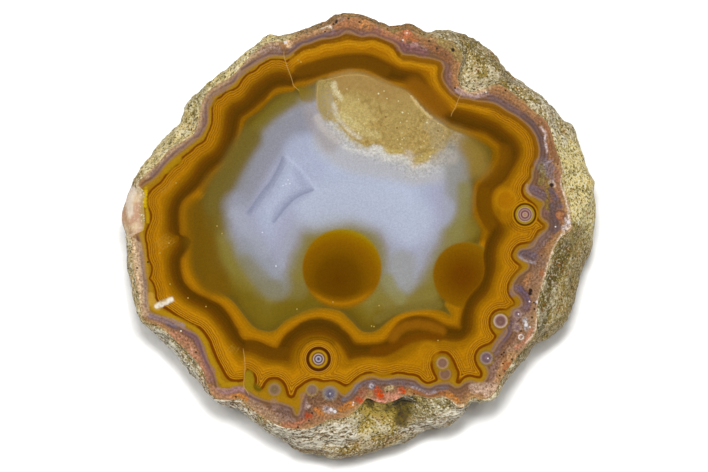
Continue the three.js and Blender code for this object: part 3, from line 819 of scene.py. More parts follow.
# %% Brush strokes on the outer layer
RIM_STROKES = read_strokes("""
# along the top, from left to right
left knot | 2.6 2.2 #d6b38c 0.85 | 285,41 290,45
shoulder tan | 2.2 2.6 #b28a66 0.8 | 296,38 308,33.5 320,30 328,28
shoulder white | 1 1.3 #dccdb8 0.75 | 320,28.5 327,25.5 332,27.5
shoulder violet | 1.2 2 #6f5d64 0.7 | 290,50 300,44 312,39.5 324,35 334,32
top cap | 4.5 4 #a8724e 0.8 | 337,22 348,20.5 360,23 370,25
cap orange | 2.4 2.2 #bd8452 0.8 | 362,24 367,25
cap grey | 2.4 2.4 #a08476 0.6 | 336,20 342,17.5
cap mauve | 1.2 2.4 #85625e 0.7 | 332,34 346,31 360,33.5 376,34.5
right of the cap | 3 3 #93655a 0.75 | 378,31 388,36 396,40
shoulder rust | 2 2.4 #b87c56 0.7 | 384,32 396,34.5 404,40
orange knot | 2.6 3 #a8643e 0.8 | 403,33 410,36 416,40
rosy patch | 3.4 2.8 #7e5757 0.85 | 400,46 406,48 416,49 424,52
rosy light | 1.2 2 #a07f78 0.7 | 412,44 420,44 426,48
rust under the boulder | 3 3 #8c603e 0.8 | 424,42 432,46 440,52 448,58
boulder sand | 3 3 #92804e 0.85 | 441,41 449,45 456,51 459,58
boulder side | 2.2 2.4 #a5744c 0.8 | 456,64 457,72 456,80 456,86
boulder mauve | 1.8 2 #85625c 0.7 | 444,64 449,72 448,84 453,92
pale corner | 2 2.2 #b39a98 0.75 | 458,90 464,94 474,96 486,93
corner beads | 1.2 1.4 #c9ac88 0.75 | 466,91.5 474,93 484,90 494,86
# down the right
violet from the corner | 2 2.4 #725c5c 0.8 | 490,97 502,103 514,110 524,118
rust from the corner | 1.8 2.2 #9a6e4a 0.75 | 494,88 506,92 518,101 530,111
rust right | 1.6 2.4 #8c5c44 0.7 | 538,117 546,125 550.5,134 552.5,142
rust lower | 2.4 2.2 #84563c 0.8 | 551,146 555,154 557,160
dark violet band | 2.8 2.2 #66524f 0.9 | 524,116 533,126 540,136 543,148 544,157
violet light line | 0.6 1.1 #c6b4b0 0.85 | 541,127 545.5,133 545,141 547,152
lavender right | 4.5 4 #776a70 0.8 | 541,164 548,168 553,176
lavender streaks | 0.7 1.2 #96888e 0.6 | 540,172 545,164 552,160
olive stain | 2 2.6 #85793e 0.6 | 541,166 543,176 541,182
olive strip | 1.4 1.8 #85702a 0.75 | 547.5,180 547.5,190 546,202 548,210
finger | 4.2 1.8 #725e64 0.9 | 531,189 537,192.5 542,196
finger light | 0.7 1.3 #b09480 0.6 | 527,185 526.5,190 531,195
small knob | 3.4 1.8 #7d5c54 0.9 | 544.5,213
rust by the edge | 2.2 2 #94664e 0.8 | 556,172 559,184 560,194
dark hollow line | 0.7 1.2 #c0aca0 0.7 | 549,183 552,181 555,186
violet diagonal | 2.2 1.8 #5f5058 0.9 | 551,190 556,199 560,206
violet hollow | 3 2.2 #5b4d50 0.85 | 553,206 553,218 557,227 553,230
white spot right | 1.8 2 #c4b8b4 0.8 | 567,217 568,226 564,228
mauve bay | 4 3 #7b645f 0.8 | 546,236 538,244 531,251
dark bay | 3.2 2 #67565c 0.9 | 522,253 529,254.5 537,258 541,263
bay light | 0.8 1.2 #a59ca2 0.8 | 519,256 524,260 531,262 537,264
pink right | 4.5 4 #8a6c56 0.75 | 543,260 538,272 533,284 538,296 536,308
rusty spots right | 1.5 1.8 #a8603e 0.6 | 542,272 542,274
orange stain right | 2.4 2.4 #a87850 0.7 | 526,282 530,276
violet vein right | 2.2 2 #625264 0.9 | 519,288 524,293 528,300 527,309
mauve lobe | 2.6 2 #7c6464 0.8 | 515,288 513,293
mauve below | 3 2.6 #7a6260 0.8 | 524,306 518,316 512,324 506,334 499,344 495,352
dark beads | 1.8 1.8 #685460 0.7 | 505,339 512,324
pink lower right | 4 3.4 #947a64 0.75 | 528,318 530,332 522,344 512,352
blue grain | 1.6 1.8 #aeb0b4 0.7 | 525,320 526,328
rose lower right | 1.4 1.8 #b5755c 0.6 | 532,330 526,340 516,348
tan foot right | 3.6 3 #b38a62 0.85 | 512,356 505,366 500,376 495,384
red grains right | 1.4 1.6 #a0532c 0.6 | 506,362 504,371 511,363
mauve foot | 2.4 2.4 #927368 0.7 | 497,362 493,370 492,378
pale foot | 3.6 3.4 #bfa28c 0.9 | 474,388 484,388 494,387 488,393
white edge right | 0.7 1.2 #d2c0aa 0.8 | 562,160 563.5,172 561,184 565,196 569,212 570,226 560,237
    553,250 547,268 543,284 539,300 537,320 535,332 527,343
# along the bottom, from right to left
orange foot | 2.2 2 #b47840 0.8 | 447,394 454,398 459,404
cream edge foot | 0.9 1.2 #e2cfae 0.8 | 442,398 450,401 458,406 464,405
brown beads | 1.8 2 #8a5634 0.8 | 412,391 424,394.5 434,395 444,393
tan by the beads | 1.6 1.8 #a87a4a 0.7 | 408,392 411,390
violet band | 1.8 2 #6f6062 0.85 | 356,386 372,382 388,381.5 404,383 418,386 430,390 446,387
light line | 0.5 1 #a3979a 0.75 | 412,387 420,390 428,394 436,392
red patch | 2.6 2 #b4563c 0.9 | 376.5,389 377,394 382,398
red heart | 1.6 1.6 #c8441f 0.9 | 380,392 381,395
pink between | 3 2.2 #b8806a 0.85 | 388,396 396,396 400,392
cream gap | 1.8 1.6 #b8a27a 0.85 | 387,389 391,387.5
second red patch | 1.8 1.8 #b84c2c 0.9 | 401,389 403.5,391.5
salmon lip | 1.2 1.4 #d09080 0.85 | 372,398 380,402 390,402 400,399
rose knot | 2.4 2 #96654f 0.8 | 360,389 364,391 362,397
rose knot heart | 0.9 1.4 #9a4c30 0.7 | 361,392
red grains | 1.8 1.6 #b04e34 0.9 | 357,399 361,401
blue grey slope | 1.8 2 #716a72 0.8 | 344,400 352,393 358,386
orange patch | 2.4 2 #bd7a3e 0.85 | 342,409 347,406.5 351,404
crystal ground | 2.4 2 #b8a8a4 0.8 | 326,409 333,411
crystal shade | 1.2 1.2 #6a6e84 0.8 | 326.5,408.5
orange spots | 1.6 1.6 #b8743e 0.85 | 316,409 319,411 322,416
brick spots | 2 1.6 #a0482e 0.85 | 306,414 310,416 307,419
salmon under | 2.4 2.6 #9c7054 0.75 | 302,424 312,421 324,419 338,417
cream loops | 0.8 1.2 #cbb4a4 0.7 | 307,403 306,408 310,406
mauve left of it | 2 2.4 #866862 0.8 | 303,396 304,406 301,416
mauve blob | 4.4 2.2 #786058 0.85 | 284,409 286,413
mauve around | 2.4 2.6 #8f7468 0.75 | 274,402 276,410 280,418 292,421
rose under the blob | 2.2 2 #a86e54 0.8 | 284,425.5 296,425.5 302,421
lower left mottle | 3 3 #a2866e 0.8 | 252,402 260,408 268,414 276,422
violet by the crack | 1.4 1.8 #73595c 0.8 | 247,393 253,397 258,400
lilac slope | 1.8 1.8 #ad8688 0.85 | 218,390 228,391.5 238,389 244,390
orange under the slope | 1.6 1.8 #b87a40 0.85 | 232,397 240,395.5 246,399
tan under the slope | 1.8 2 #a87e62 0.8 | 212,388 220,396 230,399
round mauve | 4 2.2 #88645f 0.85 | 210,371 210,378
violet stripe | 2 2 #7a5c62 0.85 | 186,331 195,337 202,348 205,360 207,368
brown mottle | 3 3 #a87860 0.8 | 174,333 184,341 194,352 200,364 205,376
pink grains | 1.4 1.6 #c89880 0.7 | 192,349 191,352
dark violet blob | 1.8 1.8 #5c5058 0.85 | 168,323.5 173,326 177,327
grey lobe | 2 2.2 #927e80 0.8 | 150,316 160,319 170,321 182,326
# up the left
left grey | 3.4 2.6 #c0a486 0.85 | 137,246 138,262 141,280 143,298 145,312
left tan | 1.4 1.8 #d0b692 0.8 | 134,240 135,256 137,272 140,290 141,306
left violet | 1 1.6 #8f7b72 0.7 | 142,252 144,272 146,292 146,306
chip yellow | 1.5 1.1 #c7a60e 0.9 | 145.5,191 144.8,198 144.6,206
chip yellow below | 1.8 1.2 #c2a214 0.85 | 143,224 142,229
upper left sand | 2 2.4 #ad9274 0.85 | 146,176 158,164 170,151 186,141 197,131 201,114 206,98 218,86
    232,77 246,62 262,48 276,43
upper left mauve | 1.6 1.8 #836a64 0.8 | 152,175 164,163 178,151 194,139 204,127 206,108 213,95
    228,86 238,76 250,66 266,56 280,52
upper left dark | 0.8 1.6 #64504e 0.7 | 242,69 248,64.5 254,60
upper left grey | 2 2 #9c8478 0.7 | 262,52 270,47 278,48
""")
store("rim_tint", paint(RIM_STROKES, face_plan), "FLOAT_COLOR")
print("strokes on the outer layer:", len(RIM_STROKES))

# %% [markdown]
# The specks are painted on their own stars of corners, over everything else. So is the white
# nick, a splinter that broke out of the polished face and left a frosted scar.

# %% Colours of the specks
NICK_STROKES = read_strokes("""
scar | 2.2 1.5 #cbb68e 0.9 | 157,306 161,303.8 166,301.8 171,299.5
left splinter | 1.6 0.9 #e6dccb 0.95 | 156.5,306.5 159.5,304.5 161.5,305.5
middle splinter | 1.3 0.9 #ded3bd 0.9 | 163,303.8 166.5,303.4
right splinter | 1.7 0.9 #e8e0d0 0.95 | 168.5,300.8 172,299.5
grey flaws | 0.4 0.8 #a59c98 0.6 | 159,305.5 160.5,305 162,303.5
grey flaws right | 0.4 0.8 #a0988a 0.6 | 169,301.5 170.5,302
open edge | 0.3 0.8 #7c5c2c 0.7 | 161,301.2 164,300 166,299.5
""")
speck_tint = paint(NICK_STROKES, face_plan)
speck_tint[:, :3] *= speck_tint[:, 3:]
for code, radius, text in SPECKS.values():
    for place in read_places(text):
        away = np.hypot(*(face_plan - place).T) / (radius * MM_PER_PX)
        share = np.clip((SPECK_HALO - away) / (SPECK_HALO - 1), 0, 1)[:, None]
        speck_tint = speck_tint * (1 - share) + np.array(linear(code)) * share
covers = speck_tint[:, 3:]
speck_tint[:, :3] /= np.maximum(covers, 1e-6)
store("speck_tint", speck_tint, "FLOAT_COLOR")
print("corners with a speck:", int((speck_tint[:, 3] > 0).sum()))

# %% [markdown]
# Healed cracks show as thin pale lines, and the closed fissure in the heart as slate-grey ones.
# A line thinner than the net would be lost between its corners. So each line is stored as a
# signed distance too, with a second value that says where the line begins and ends.

# %% Cracks
PALE_CRACKS_PX = {
    "top left": "284,50 284,56 286,63 288,69 290,74 292,80 294,86 300,91",
    "top right": "463,91 459,98 457,103 455,108 452,113 451,117",
    "bottom left": "243,348 244.5,358 245,367 244,380 244,387 247,391 249,396",
    "beside the quartz": "407,92 416,103 424,112 430,118 438,123 446,128",
    "across the quartz": "446,127 444,134 441,140",
    "second across": "430,122 427,132 424,139 427,146",
    "quartz crest": "318,81.5 330,79 342,76 352,75 362,75.5 370,77",
    "strip edge": "318,84 317,96 317,110",
}
FISSURE_PX = {
    "left wall": "283,156 278,168 270,182 262,192 255,202 247,214",
    "lower wall": "273,224 279,216 289,204 299,196 315,189.5",
}
STREAKS_PX = {}
FAULT_STREAKS = 4  # side by side across the fault at the left, each a little lower than the last
for k in range(FAULT_STREAKS):
    first = f"{153 + 2.4 * k},{244 + 2.2 * k}"
    middle = f"{160 + 3 * k},{238.5 + 2.4 * k}"
    STREAKS_PX[f"fault {k}"] = f"{first} {middle} {167 + 3.2 * k},{233 + 2.6 * k}"
STREAKS_PX |= {
    "low 1": "226,352 230,347 234,344",
    "low 2": "230,353.5 233,349 236,346",
    "low 3": "235,354 238,349.5 240,347",
    "up 1": "159,192 166,186 173,179",
    "up 2": "161,195 168,189 175,183",
}
CRACK_REACH = 1.2  # mm
CRACK_TAPER = 0.4  # mm over which a line fades in at its ends
CRACK_FADE = 0.5  # mm over which it fades out at its reach


def line_field(paths):
    """Signed distance from the nearest of the lines, and how much of a line is there."""
    offsets, covers = np.full(len(face_plan), CRACK_REACH), np.zeros(len(face_plan))
    best = np.full(len(face_plan), CRACK_REACH)
    for path in paths.values():
        line = smooth_curve(read_path(path)[0])
        run = np.concatenate([[0], np.cumsum(np.hypot(*np.diff(line, axis=0).T))])
        for start, end, before in zip(line[:-1], line[1:], run):
            link = end - start
            offset = face_plan - start
            share = np.clip(offset @ link / (link @ link), 0, 1)
            gap = np.hypot(*(offset - share[:, None] * link).T)
            here = before + share * np.hypot(*link)
            nearer = gap < best
            best[nearer] = gap[nearer]
            side = np.sign(offset[:, 0] * link[1] - offset[:, 1] * link[0])
            offsets[nearer] = (gap * side)[nearer]
            ends = np.clip(np.minimum(here, run[-1] - here) / CRACK_TAPER, 0, 1)
            covers[nearer] = (ends * np.clip((CRACK_REACH - gap) / CRACK_FADE, 0, 1))[nearer]
    return offsets, covers


for name, paths in {"crack": PALE_CRACKS_PX, "fissure": FISSURE_PX, "streak": STREAKS_PX}.items():
    offsets, covers = line_field(paths)
    store(name, np.append(offsets, CRACK_REACH))
    store(name + "_cover", np.append(covers, 0))
    print(name, "lines:", len(paths))

# %% [markdown]
# The golden quartz at the top and the two round discs are later growths. The quartz has its own
# outline, stored like a front.

# %% Outline of the quartz
QUARTZ_PX = """334,80 345,74.5 358,73 370,77 385,84 400,88.5 408,92 416,102 426,113.5 438,123
    450,130 448,138 444,148 438,157 430,162 415,167 408,162 400,157 384,152 372,147 362,145
    352,138 342,128 336,115 333,100"""
quartz_curve = smooth_curve(read_path(QUARTZ_PX)[0], closed=True)
quartz_distance = np.minimum(distance_to([quartz_curve], face_plan), FAR)
in_quartz = is_inside(quartz_curve, face_plan)
store("quartz", np.append(np.where(in_quartz, quartz_distance, -quartz_distance), -FAR))
print("corners in the quartz:", int(in_quartz.sum()))

# %% [markdown]
# The skin is sandy and pale on the right, olive in the undercuts and the hollows, and has
# white flakes of chalk along the bottom. The undercuts are darkened as painted shade and the
# hollows as painted shadow. These broad areas are strokes too, and the relief is stored so
# that pits get painted shade and crests get paler, partly from chalk and partly as painted
# highlight. Lower down, noise makes their borders wander. Its seed is set, because Blender
# would otherwise take the time of day for one.

# %% Areas of the skin
# painted shadow: the hollows under the overhang and the shade between them
# the undercut at the right: olive crust, darkened with painted shade where it faces away from the light
SKIN_STROKES = read_strokes("""
tan ground | 400 10 #ad9669 1 | 358,236 359,236
pale side | 15 10 #f0dfa4 0.95 | 570,132 582,165 588,200 586,228
upper right flank | 9 8 #a6946a 0.8 | 508,84 532,96 552,112 566,126
boulder | 20 10 #907d48 0.9 | 470,48 486,62 496,82
boulder cream | 5 6 #d0c29a 0.5 | 462,62 468,80 480,86
undercut right | 17 10 #9e8a54 0.9 | 568,242 570,270 562,300 552,325 538,342
undercut dark | 4 5 #5a4b20 0.85 | 566,246 560,262 552,282 546,304 540,326
bottom olive | 16 10 #c2ac6a 0.9 | 366,418 384,428 404,424 430,412
bottom lower rim | 6 6 #b09460 0.8 | 290,446 330,456 370,450 410,438 450,424
white flakes | 6 9 #d0c2a4 0.85 | 276,436 300,434 326,436 344,432
flake rust | 1.6 3.5 #b08c6c 0.6 | 296,431 306,429 320,433
flake rust low | 1.6 3.5 #a48464 0.65 | 292,444 306,449 322,451
white flakes right | 4.5 5 #b8a888 0.75 | 404,428 424,424 444,418 462,410
grey side | 8 6 #978c6a 0.7 | 418,412 436,406 450,404
left hollow | 2.4 3.4 #2a220e 0.95 | 367,398 372,400 370,404
hollow body | 5 4 #463818 0.9 | 400,404 404,412 401,420
right hollow | 3 3.4 #2a220e 0.95 | 397,400 404,400 411,400
hollow foot | 1.6 3.4 #3a2e16 0.8 | 403,408 401,414
hollow link | 2 4 #75653a 0.6 | 380,404 388,406
lower left flakes | 5 4 #c2b99c 0.9 | 158,338 172,352 186,368 196,382
lower left rust | 5 5 #b08a66 0.7 | 200,384 214,398 230,404 250,414
left cream | 5 4 #cfba8c 0.85 | 128,240 130,266 136,298 142,320
chip pink | 8 5 #cfae98 0.95 | 130,196 128,214 132,228
chip cream | 3 4 #e4cfae 0.8 | 134,226 128,232 138,188 132,196
chip white | 2.4 3 #f0e2d2 0.8 | 133,190 128,202 130,213
chip rose | 1.8 3 #c49a84 0.7 | 137,205 136,216 131,222
chip rim | 1 2.2 #a07c5c 0.6 | 124,204 126,220 131,233
upper left | 7 20 #ecdaa2 0.9 | 146,158 166,138 184,116 198,96 222,74 248,52 270,36 294,29
upper left grey | 6 5 #a89c70 0.6 | 184,112 200,92
top | 4 36 #9c744f 0.9 | 306,25 330,18 352,14 376,24 400,28
""")
GROUND_COLOUR, GROUND_SHARE = "#b09a6c", 0.75  # the unseen lower side is mostly plain tan crust
WANDER_SIZE, WANDER_REACH, WANDER_TOP = 7.0, 9.0, 18.0  # mm; below the top height the borders wander
WANDER_SEED = 1
NOT_SHOWN = [0.4, 0.3, 0.2, 1]  # the polished face has no skin
CHIP_SAND = 0.12  # of the sand is left in the middle of the broken chip
# how white the crests are; above 1 the crust is flaky
CHALK = read_strokes("""
top | 14 20 0.8 | 150,160 200,100 270,36
crest | 10 30 0.15 | 300,26 350,12 410,28
chip | 8 5 0.3 | 130,196 128,214 132,228
undercut | 14 8 0.5 | 568,242 566,280 552,325 538,342
boulder | 18 8 0.7 | 470,48 486,62 496,82
bottom | 12 9 0.9 | 376,424 396,424 414,414
flakes | 7 9 1.5 | 272,434 300,437 326,438 346,433
flakes right | 3.5 4 1.5 | 404,431 424,427 444,420 462,411
lower left flakes | 5 4 1.5 | 156,336 172,353 188,372 200,388 226,402 250,416
hollows | 8 5 0 | 365,399 368,406 385,408 404,408 402,418
""")
skin_order = np.vstack([face_points, lower_rows, foot_middle])
skin_tint = np.zeros((len(all_points), 4))
skin_tint[EDGE_STEPS:len(face_points)] = NOT_SHOWN
on_skin = np.r_[np.arange(EDGE_STEPS), np.arange(len(face_points), len(all_points))]
lowness = np.clip(1 - skin_order[on_skin, 2] / WANDER_TOP, 0, 1)[:, None]
noise.seed_set(WANDER_SEED)
wander = np.array([noise.noise_vector(Vector(p) / WANDER_SIZE)[:2] for p in skin_order[on_skin]])
painted = paint(SKIN_STROKES, skin_order[on_skin, :2] + wander * (WANDER_REACH * lowness))
to_ground = GROUND_SHARE * lowness
skin_tint[on_skin] = painted * (1 - to_ground) + np.array(linear(GROUND_COLOUR)) * to_ground
store("skin_tint", skin_tint, "FLOAT_COLOR")
from_chip = np.hypot(*(all_points[:, :2] - on_stone(CHIP_PX[0])).T) / CHIP_PX[1]
store("sand", np.clip(from_chip**4, CHIP_SAND, 1))
chalk = np.zeros(len(all_points))
chalk[on_skin] = amount(CHALK, skin_order[on_skin, :2], 1.0)
store("chalk", chalk)
relief_full = np.zeros(len(all_points))
relief_full[len(face_points):-1] = (relief * calm)[1:SKIN_ROWS].ravel()
store("relief", relief_full)

# %% [markdown]
# The bake of the finished model wants a flat map of the surface. The face is one large island,
# so that its fine bands keep their detail, and the skin is a strip below it.

# %% Map for the bake
FACE_ISLAND_FROM = 0.27  # the face takes the map above this height, the skin the rest
MARGIN = 0.002  # of the map stays empty at its borders
BETWEEN = 0.01  # and between face and skin
uv_layer = stone_mesh.uv_layers.new(name="OFBake")
loop_points = np.empty(len(stone_mesh.loops), dtype=np.int64)
stone_mesh.loops.foreach_get("vertex_index", loop_points)
loop_faces = np.repeat(np.arange(len(faces)), [len(f) for f in faces])
uv = np.empty((len(loop_points), 2))
island = (face_plan - low) / (high - low)
upper = loop_faces < len(face_triangles)
WIDE = 1 - 2 * MARGIN
uv[upper] = (
    island[loop_points[upper]] * [WIDE, WIDE - FACE_ISLAND_FROM] + [MARGIN, FACE_ISLAND_FROM + MARGIN]
)
grid_row = np.zeros(len(all_points))
grid_row[len(face_points):-1] = np.repeat(np.arange(1, SKIN_ROWS), EDGE_STEPS)
grid_row[-1] = SKIN_ROWS
grid_column = np.zeros(len(all_points))
grid_column[:EDGE_STEPS] = np.arange(EDGE_STEPS)
grid_column[len(face_points):-1] = np.tile(np.arange(EDGE_STEPS), SKIN_ROWS - 1)
lower = ~upper
face_first = grid_column[loop_points[np.searchsorted(loop_faces, loop_faces[lower])]]
strip = grid_column[loop_points[lower]]
strip = np.where(strip < face_first - EDGE_STEPS / 2, strip + EDGE_STEPS, strip)
strip = np.where(loop_points[lower] == last, face_first + 0.5, strip)
up_strip = 1 - grid_row[loop_points[lower]] / SKIN_ROWS
uv[lower] = np.column_stack([
    MARGIN + strip / EDGE_STEPS * WIDE,
    2 * MARGIN + up_strip * (FACE_ISLAND_FROM - 2 * MARGIN - BETWEEN),
])
uv_layer.data.foreach_set("uv", uv.ravel())
print("map from", uv.min(axis=0).round(3), "to", uv.max(axis=0).round(3))

# %% [markdown]
# Both finishes are node trees. One small function adds a node of any kind, sets it, and links
# what it is given in the order of its sockets, so a finish reads like a list of coats.
# The photograph was exposed until its paper went past white. The colours were read from it, so
# each finish ends by dividing them by what the paper was overexposed by.

# %% A helper for shader nodes
tree = None  # the node tree that is being built
MODE_OF = {"Mix": "data_type"}  # what a kind's mode sets; for the maths kinds it is the operation
OVEREXPOSED = 1.2


def read_stops(text, reach):
    """Ramp stops from "0 #b08c62, 0.4 #926a4a 0.5": a place, a colour and its cover if below 1."""
    rows = [row.split() for row in text.split(",")]
    return [(float(place) / reach, code, *map(float, cover)) for place, code, *cover in rows]


def add(kind, *links, out=None, stops=None, reach=1.0, **settings):
    """Adds a node, such as "TexNoise" or "Math ADD" with its mode, and returns an output.

    The links go to its sockets in order. Plain names are settings, capital ones are sockets.
    Stops are the colours of a ramp, and reach is what its right end stands for.
    """
    kind, *mode = kind.split()
    made = tree.nodes.new("ShaderNode" + kind)
    if mode:
        setattr(made, MODE_OF.get(kind, "operation"), mode[0])
    for name, value in settings.items():
        if name[0].islower():
            setattr(made, name, value)
    if stops:
        colours = read_stops(stops, reach)
        while len(made.color_ramp.elements) < len(colours):
            made.color_ramp.elements.new(1.0)
        for element, (place, code, *cover) in zip(made.color_ramp.elements, colours):
            element.position = place
            element.color = linear(code)[:3] + (cover or [1.0])
    given = list(zip([s for s in made.inputs if s.enabled], links))
    named = {name.replace("_", " "): v for name, v in settings.items() if name[0].isupper()}
    given += [(made.inputs[name], value) for name, value in named.items()]
    for socket, value in given:
        if isinstance(value, bpy.types.NodeSocket):
            tree.links.new(value, socket)
        elif value is not None:
            socket.default_value = value
    if out:
        return made.outputs[out]
    return next((s for s in made.outputs if s.enabled), None)


def new_material(name):
    """An empty node material; the tree is then filled with add()."""
    global tree
    material = bpy.data.materials.new(name)
    material.use_nodes = True
    tree = material.node_tree
    tree.nodes.clear()
    return material


print("colours are divided by", OVEREXPOSED)

# %% [markdown]
# Chalcedony, the fibrous quartz that agate is made of, was ground flat here and polished with
# ever finer grit. An index of 1.54 and a roughness under 0.05 give it a clear, thin gloss over
# deep colour. Iron stained its layers yellow, orange and brown.
# Each ring could be drawn with its own outline, but the rings would then never quite agree.
# They are laid inwards from the edge instead, each over the last, where its front is passed.
# First come the crumbly outer layer and the yellow layer, whose fine ripples are its growth.

# %% Polished chalcedony: the outer and the yellow layer
chalcedony = new_material("polished_chalcedony")
place_mm = add("VectorMath SCALE", add("TexCoord", out="Object"), 1000)
CLOUDS, GRAINS, SPECKLES = 0.16, 1.1, 2.6  # per mm: about 6, 1 and 0.4 mm (two pixels) across
cloud = add("TexNoise", place_mm, CLOUDS, 2.0, 0.5)
grain = add("TexNoise", place_mm, GRAINS, 3.0, 0.6)
speckle = add("TexNoise", place_mm, SPECKLES, 2.0, 0.7)

edge, yellow, rust, brown, orange, olive, heart, wrap_line, line_strength, brown_softness = (
    add("Attribute", attribute_name=name, out="Fac")
    for name in (*FRONTS, "wrap", "line_strength", "brown_softness")
)


def passed(distance, blur):
    """0 outside a front and 1 inside it, with a soft step of twice the blur in millimetres."""
    return add("MapRange", distance, -blur, blur, 0.0, 1.0, interpolation_type="SMOOTHSTEP")


def share_between(outer, inner):
    """How far a point is from one front to the next, 0 to 1."""
    return add("Math DIVIDE", outer, add("Math SUBTRACT", outer, inner), use_clamp=True)


# tan at the saw edge, then browner towards the yellow front, broken up by grain
outer_share = add("Math MULTIPLY_ADD", grain, 0.5, share_between(edge, yellow))
outer_share = add("Math MULTIPLY_ADD", speckle, 0.2, outer_share)
outer = add("ValToRGB", add("MapRange", outer_share, 0.35, 1.35, 0.0, 1.0), stops="""
    0 #b08c62, 0.2 #a17a54, 0.4 #926a4a, 0.55 #84614a, 0.72 #76563f, 1 #785a42""")
RIPPLE_WIDTH = 0.72  # mm, between three and four pixels
RIPPLE_WAVER = 7.0  # how far, in radians, the grain pushes the ripples about
ripple_phase = add("Math MULTIPLY", grain, RIPPLE_WAVER)
ripple = add("Math SINE", add("Math MULTIPLY_ADD", yellow, 2 * math.pi / RIPPLE_WIDTH, ripple_phase))

yellow_colour = add("ValToRGB", share_between(yellow, rust), stops="""
    0 #8c6a1e, 0.2 #987118, 0.5 #9d7312, 0.8 #90640a, 1 #845404""")
colour = add("Mix RGBA", passed(yellow, 0.12), outer, yellow_colour)
print("outer and yellow layer:", len(tree.nodes), "nodes")

# %% [markdown]
# The ochre layer is striped by thin rust-brown lines, where growth paused and iron settled.
# They follow the rust line and bend round the eyes. They show faintly at the top and strongly
# at the bottom, so three ramps are mixed by the strength that was painted on the mesh.

# %% Polished chalcedony: the ochre layer and its lines
OCHRE_REACH = 26  # pixels
wavy = add("Math MULTIPLY_ADD", add("Math ADD", grain, -0.5), 0.5, wrap_line)
ochre_share = add("MapRange", wavy, 0.0, OCHRE_REACH * MM_PER_PX, 0.0, 1.0)
OCHRE_LINES = {  # pixels inside the rust front, and the colour there
    "faint": """
        0 #7c4e02, 1.2 #925e04, 2.6 #b07a0c, 3.6 #a87004, 5.2 #ba8210, 6.6 #a86e02, 8 #b47a0a,
        9.4 #a56803, 11.4 #a86a05, 16 #b17908, 21 #ad7605, 26 #ac7406""",
    "fine": """
        0 #723e04, 1.2 #925d06, 2.2 #a9760b, 3.1 #7a4806, 4 #b27a0b, 5.1 #804e08, 6.1 #ad750a,
        7.1 #8a5608, 8.2 #ad760a, 9.4 #9a6406, 10.6 #ab7306, 14 #a66e05, 20 #a97205, 26 #a56d04""",
    "strong": """
        0 #6a3404, 1.2 #945c06, 2.1 #b88014, 3 #703e06, 3.9 #be8614, 4.8 #784406, 5.7 #bc8410,
        6.7 #8a5208, 7.8 #b9820f, 9 #9a6208, 10.2 #b8800a, 12 #b07607, 14 #bd8209, 17 #b47a06,
        20 #b87d06, 26 #b47a06""",
}
faint, fine, strong = (
    add("ValToRGB", ochre_share, stops=stops, reach=OCHRE_REACH) for stops in OCHRE_LINES.values()
)
ochre = add("Mix RGBA", add("MapRange", line_strength, 0.0, 0.5, 0.0, 1.0), faint, fine)
ochre = add("Mix RGBA", add("MapRange", line_strength, 0.5, 1.0, 0.0, 1.0), ochre, strong)

# umber creeps in towards the brown front, least where that front is soft
umber_room = add("MapRange", brown_softness, 0.22, 0.7, 0.58, 0.22)
umber = add("MapRange", share_between(rust, brown), 0.5, 1.0, 0.0, 1.0)
umber = add("Math SUBTRACT", 1.0, add("Math MULTIPLY", umber, umber_room))
ochre = add("HueSaturation", Value=umber, Color=ochre)
colour = add("Mix RGBA", passed(rust, 0.08), colour, ochre)

# the rust-red line on the front itself
rust_half_width = add("MapRange", line_strength, 0.4, 1.0, 0.1, 0.26)  # mm
rust_gap = add("Math SUBTRACT", add("Math ABSOLUTE", rust), rust_half_width)
rust_cover = add("MapRange", line_strength, 0.1, 0.5, 0.0, 0.9)
rust_line = add("MapRange", rust_gap, -0.06, 0.12, 1.0, 0.0, interpolation_type="SMOOTHSTEP")
rust_line = add("Math MULTIPLY", rust_line, rust_cover)
colour = add("Mix RGBA", rust_line, colour, linear("#6a3402"))
print("with the ochre layer:", len(tree.nodes), "nodes")

# %% [markdown]
# The brown layer holds the most iron. It is darkest against the orange, and ends softly where
# the stain crept outwards. The orange layer is clear and bright. Faint growth lines, under half
# a millimetre wide, run through both and through the ochre.

# %% Polished chalcedony: the brown and the orange layer
brown_colour = add("ValToRGB", share_between(brown, orange), stops="""
    0 #764a04, 0.1 #6a4003, 0.3 #5f3a03, 0.5 #573703, 0.7 #523303, 0.9 #5c3802, 1 #6a4204""")
softened = add("Math DIVIDE", brown, brown_softness)
colour = add("Mix RGBA", passed(softened, 1.0), colour, brown_colour)

orange_tone = add("Attribute", attribute_name="orange_tone", out="Fac")
orange_colour = add("ValToRGB", share_between(orange, olive), stops="""
    0 #7a4e05, 0.1 #8a5906, 0.3 #a06a05, 0.5 #a46d05, 0.7 #986704, 0.9 #8c620c, 1 #7c5c12""")
orange_colour = add("HueSaturation", Value=orange_tone, Color=orange_colour)
ORANGE_SHARPER = -0.08  # mm, how much sharper than the brown front the orange one is
orange_blur = add("Math ADD", brown_softness, ORANGE_SHARPER)
colour = add("Mix RGBA", passed(add("Math DIVIDE", orange, orange_blur), 1.0), colour, orange_colour)

LINE_SPACING, LINE_WAVER, LINE_SHADE = 0.56, 6.0, 0.085  # mm, radians, share of the brightness
line_phase = add("Math MULTIPLY", grain, LINE_WAVER)
lines = add("Math SINE", add("Math MULTIPLY_ADD", brown, 2 * math.pi / LINE_SPACING, line_phase))
line_room = add("MapRange", speckle, 0.35, 0.6, 0.0, LINE_SHADE)
line_room = add("Math MULTIPLY", line_room, passed(rust, 0.5))
colour = add("HueSaturation", Value=add("Math MULTIPLY_ADD", lines, line_room, 1.0), Color=colour)
print("with the brown and the orange layer:", len(tree.nodes), "nodes")

# %% [markdown]
# The last growth is nearly free of iron: olive where it begins, then a lavender heart, because
# its fine fibres scatter blue light. The heart has no front that one could trace. It is a haze,
# so its colours cover the olive little by little, and clouds push its edge in and out.

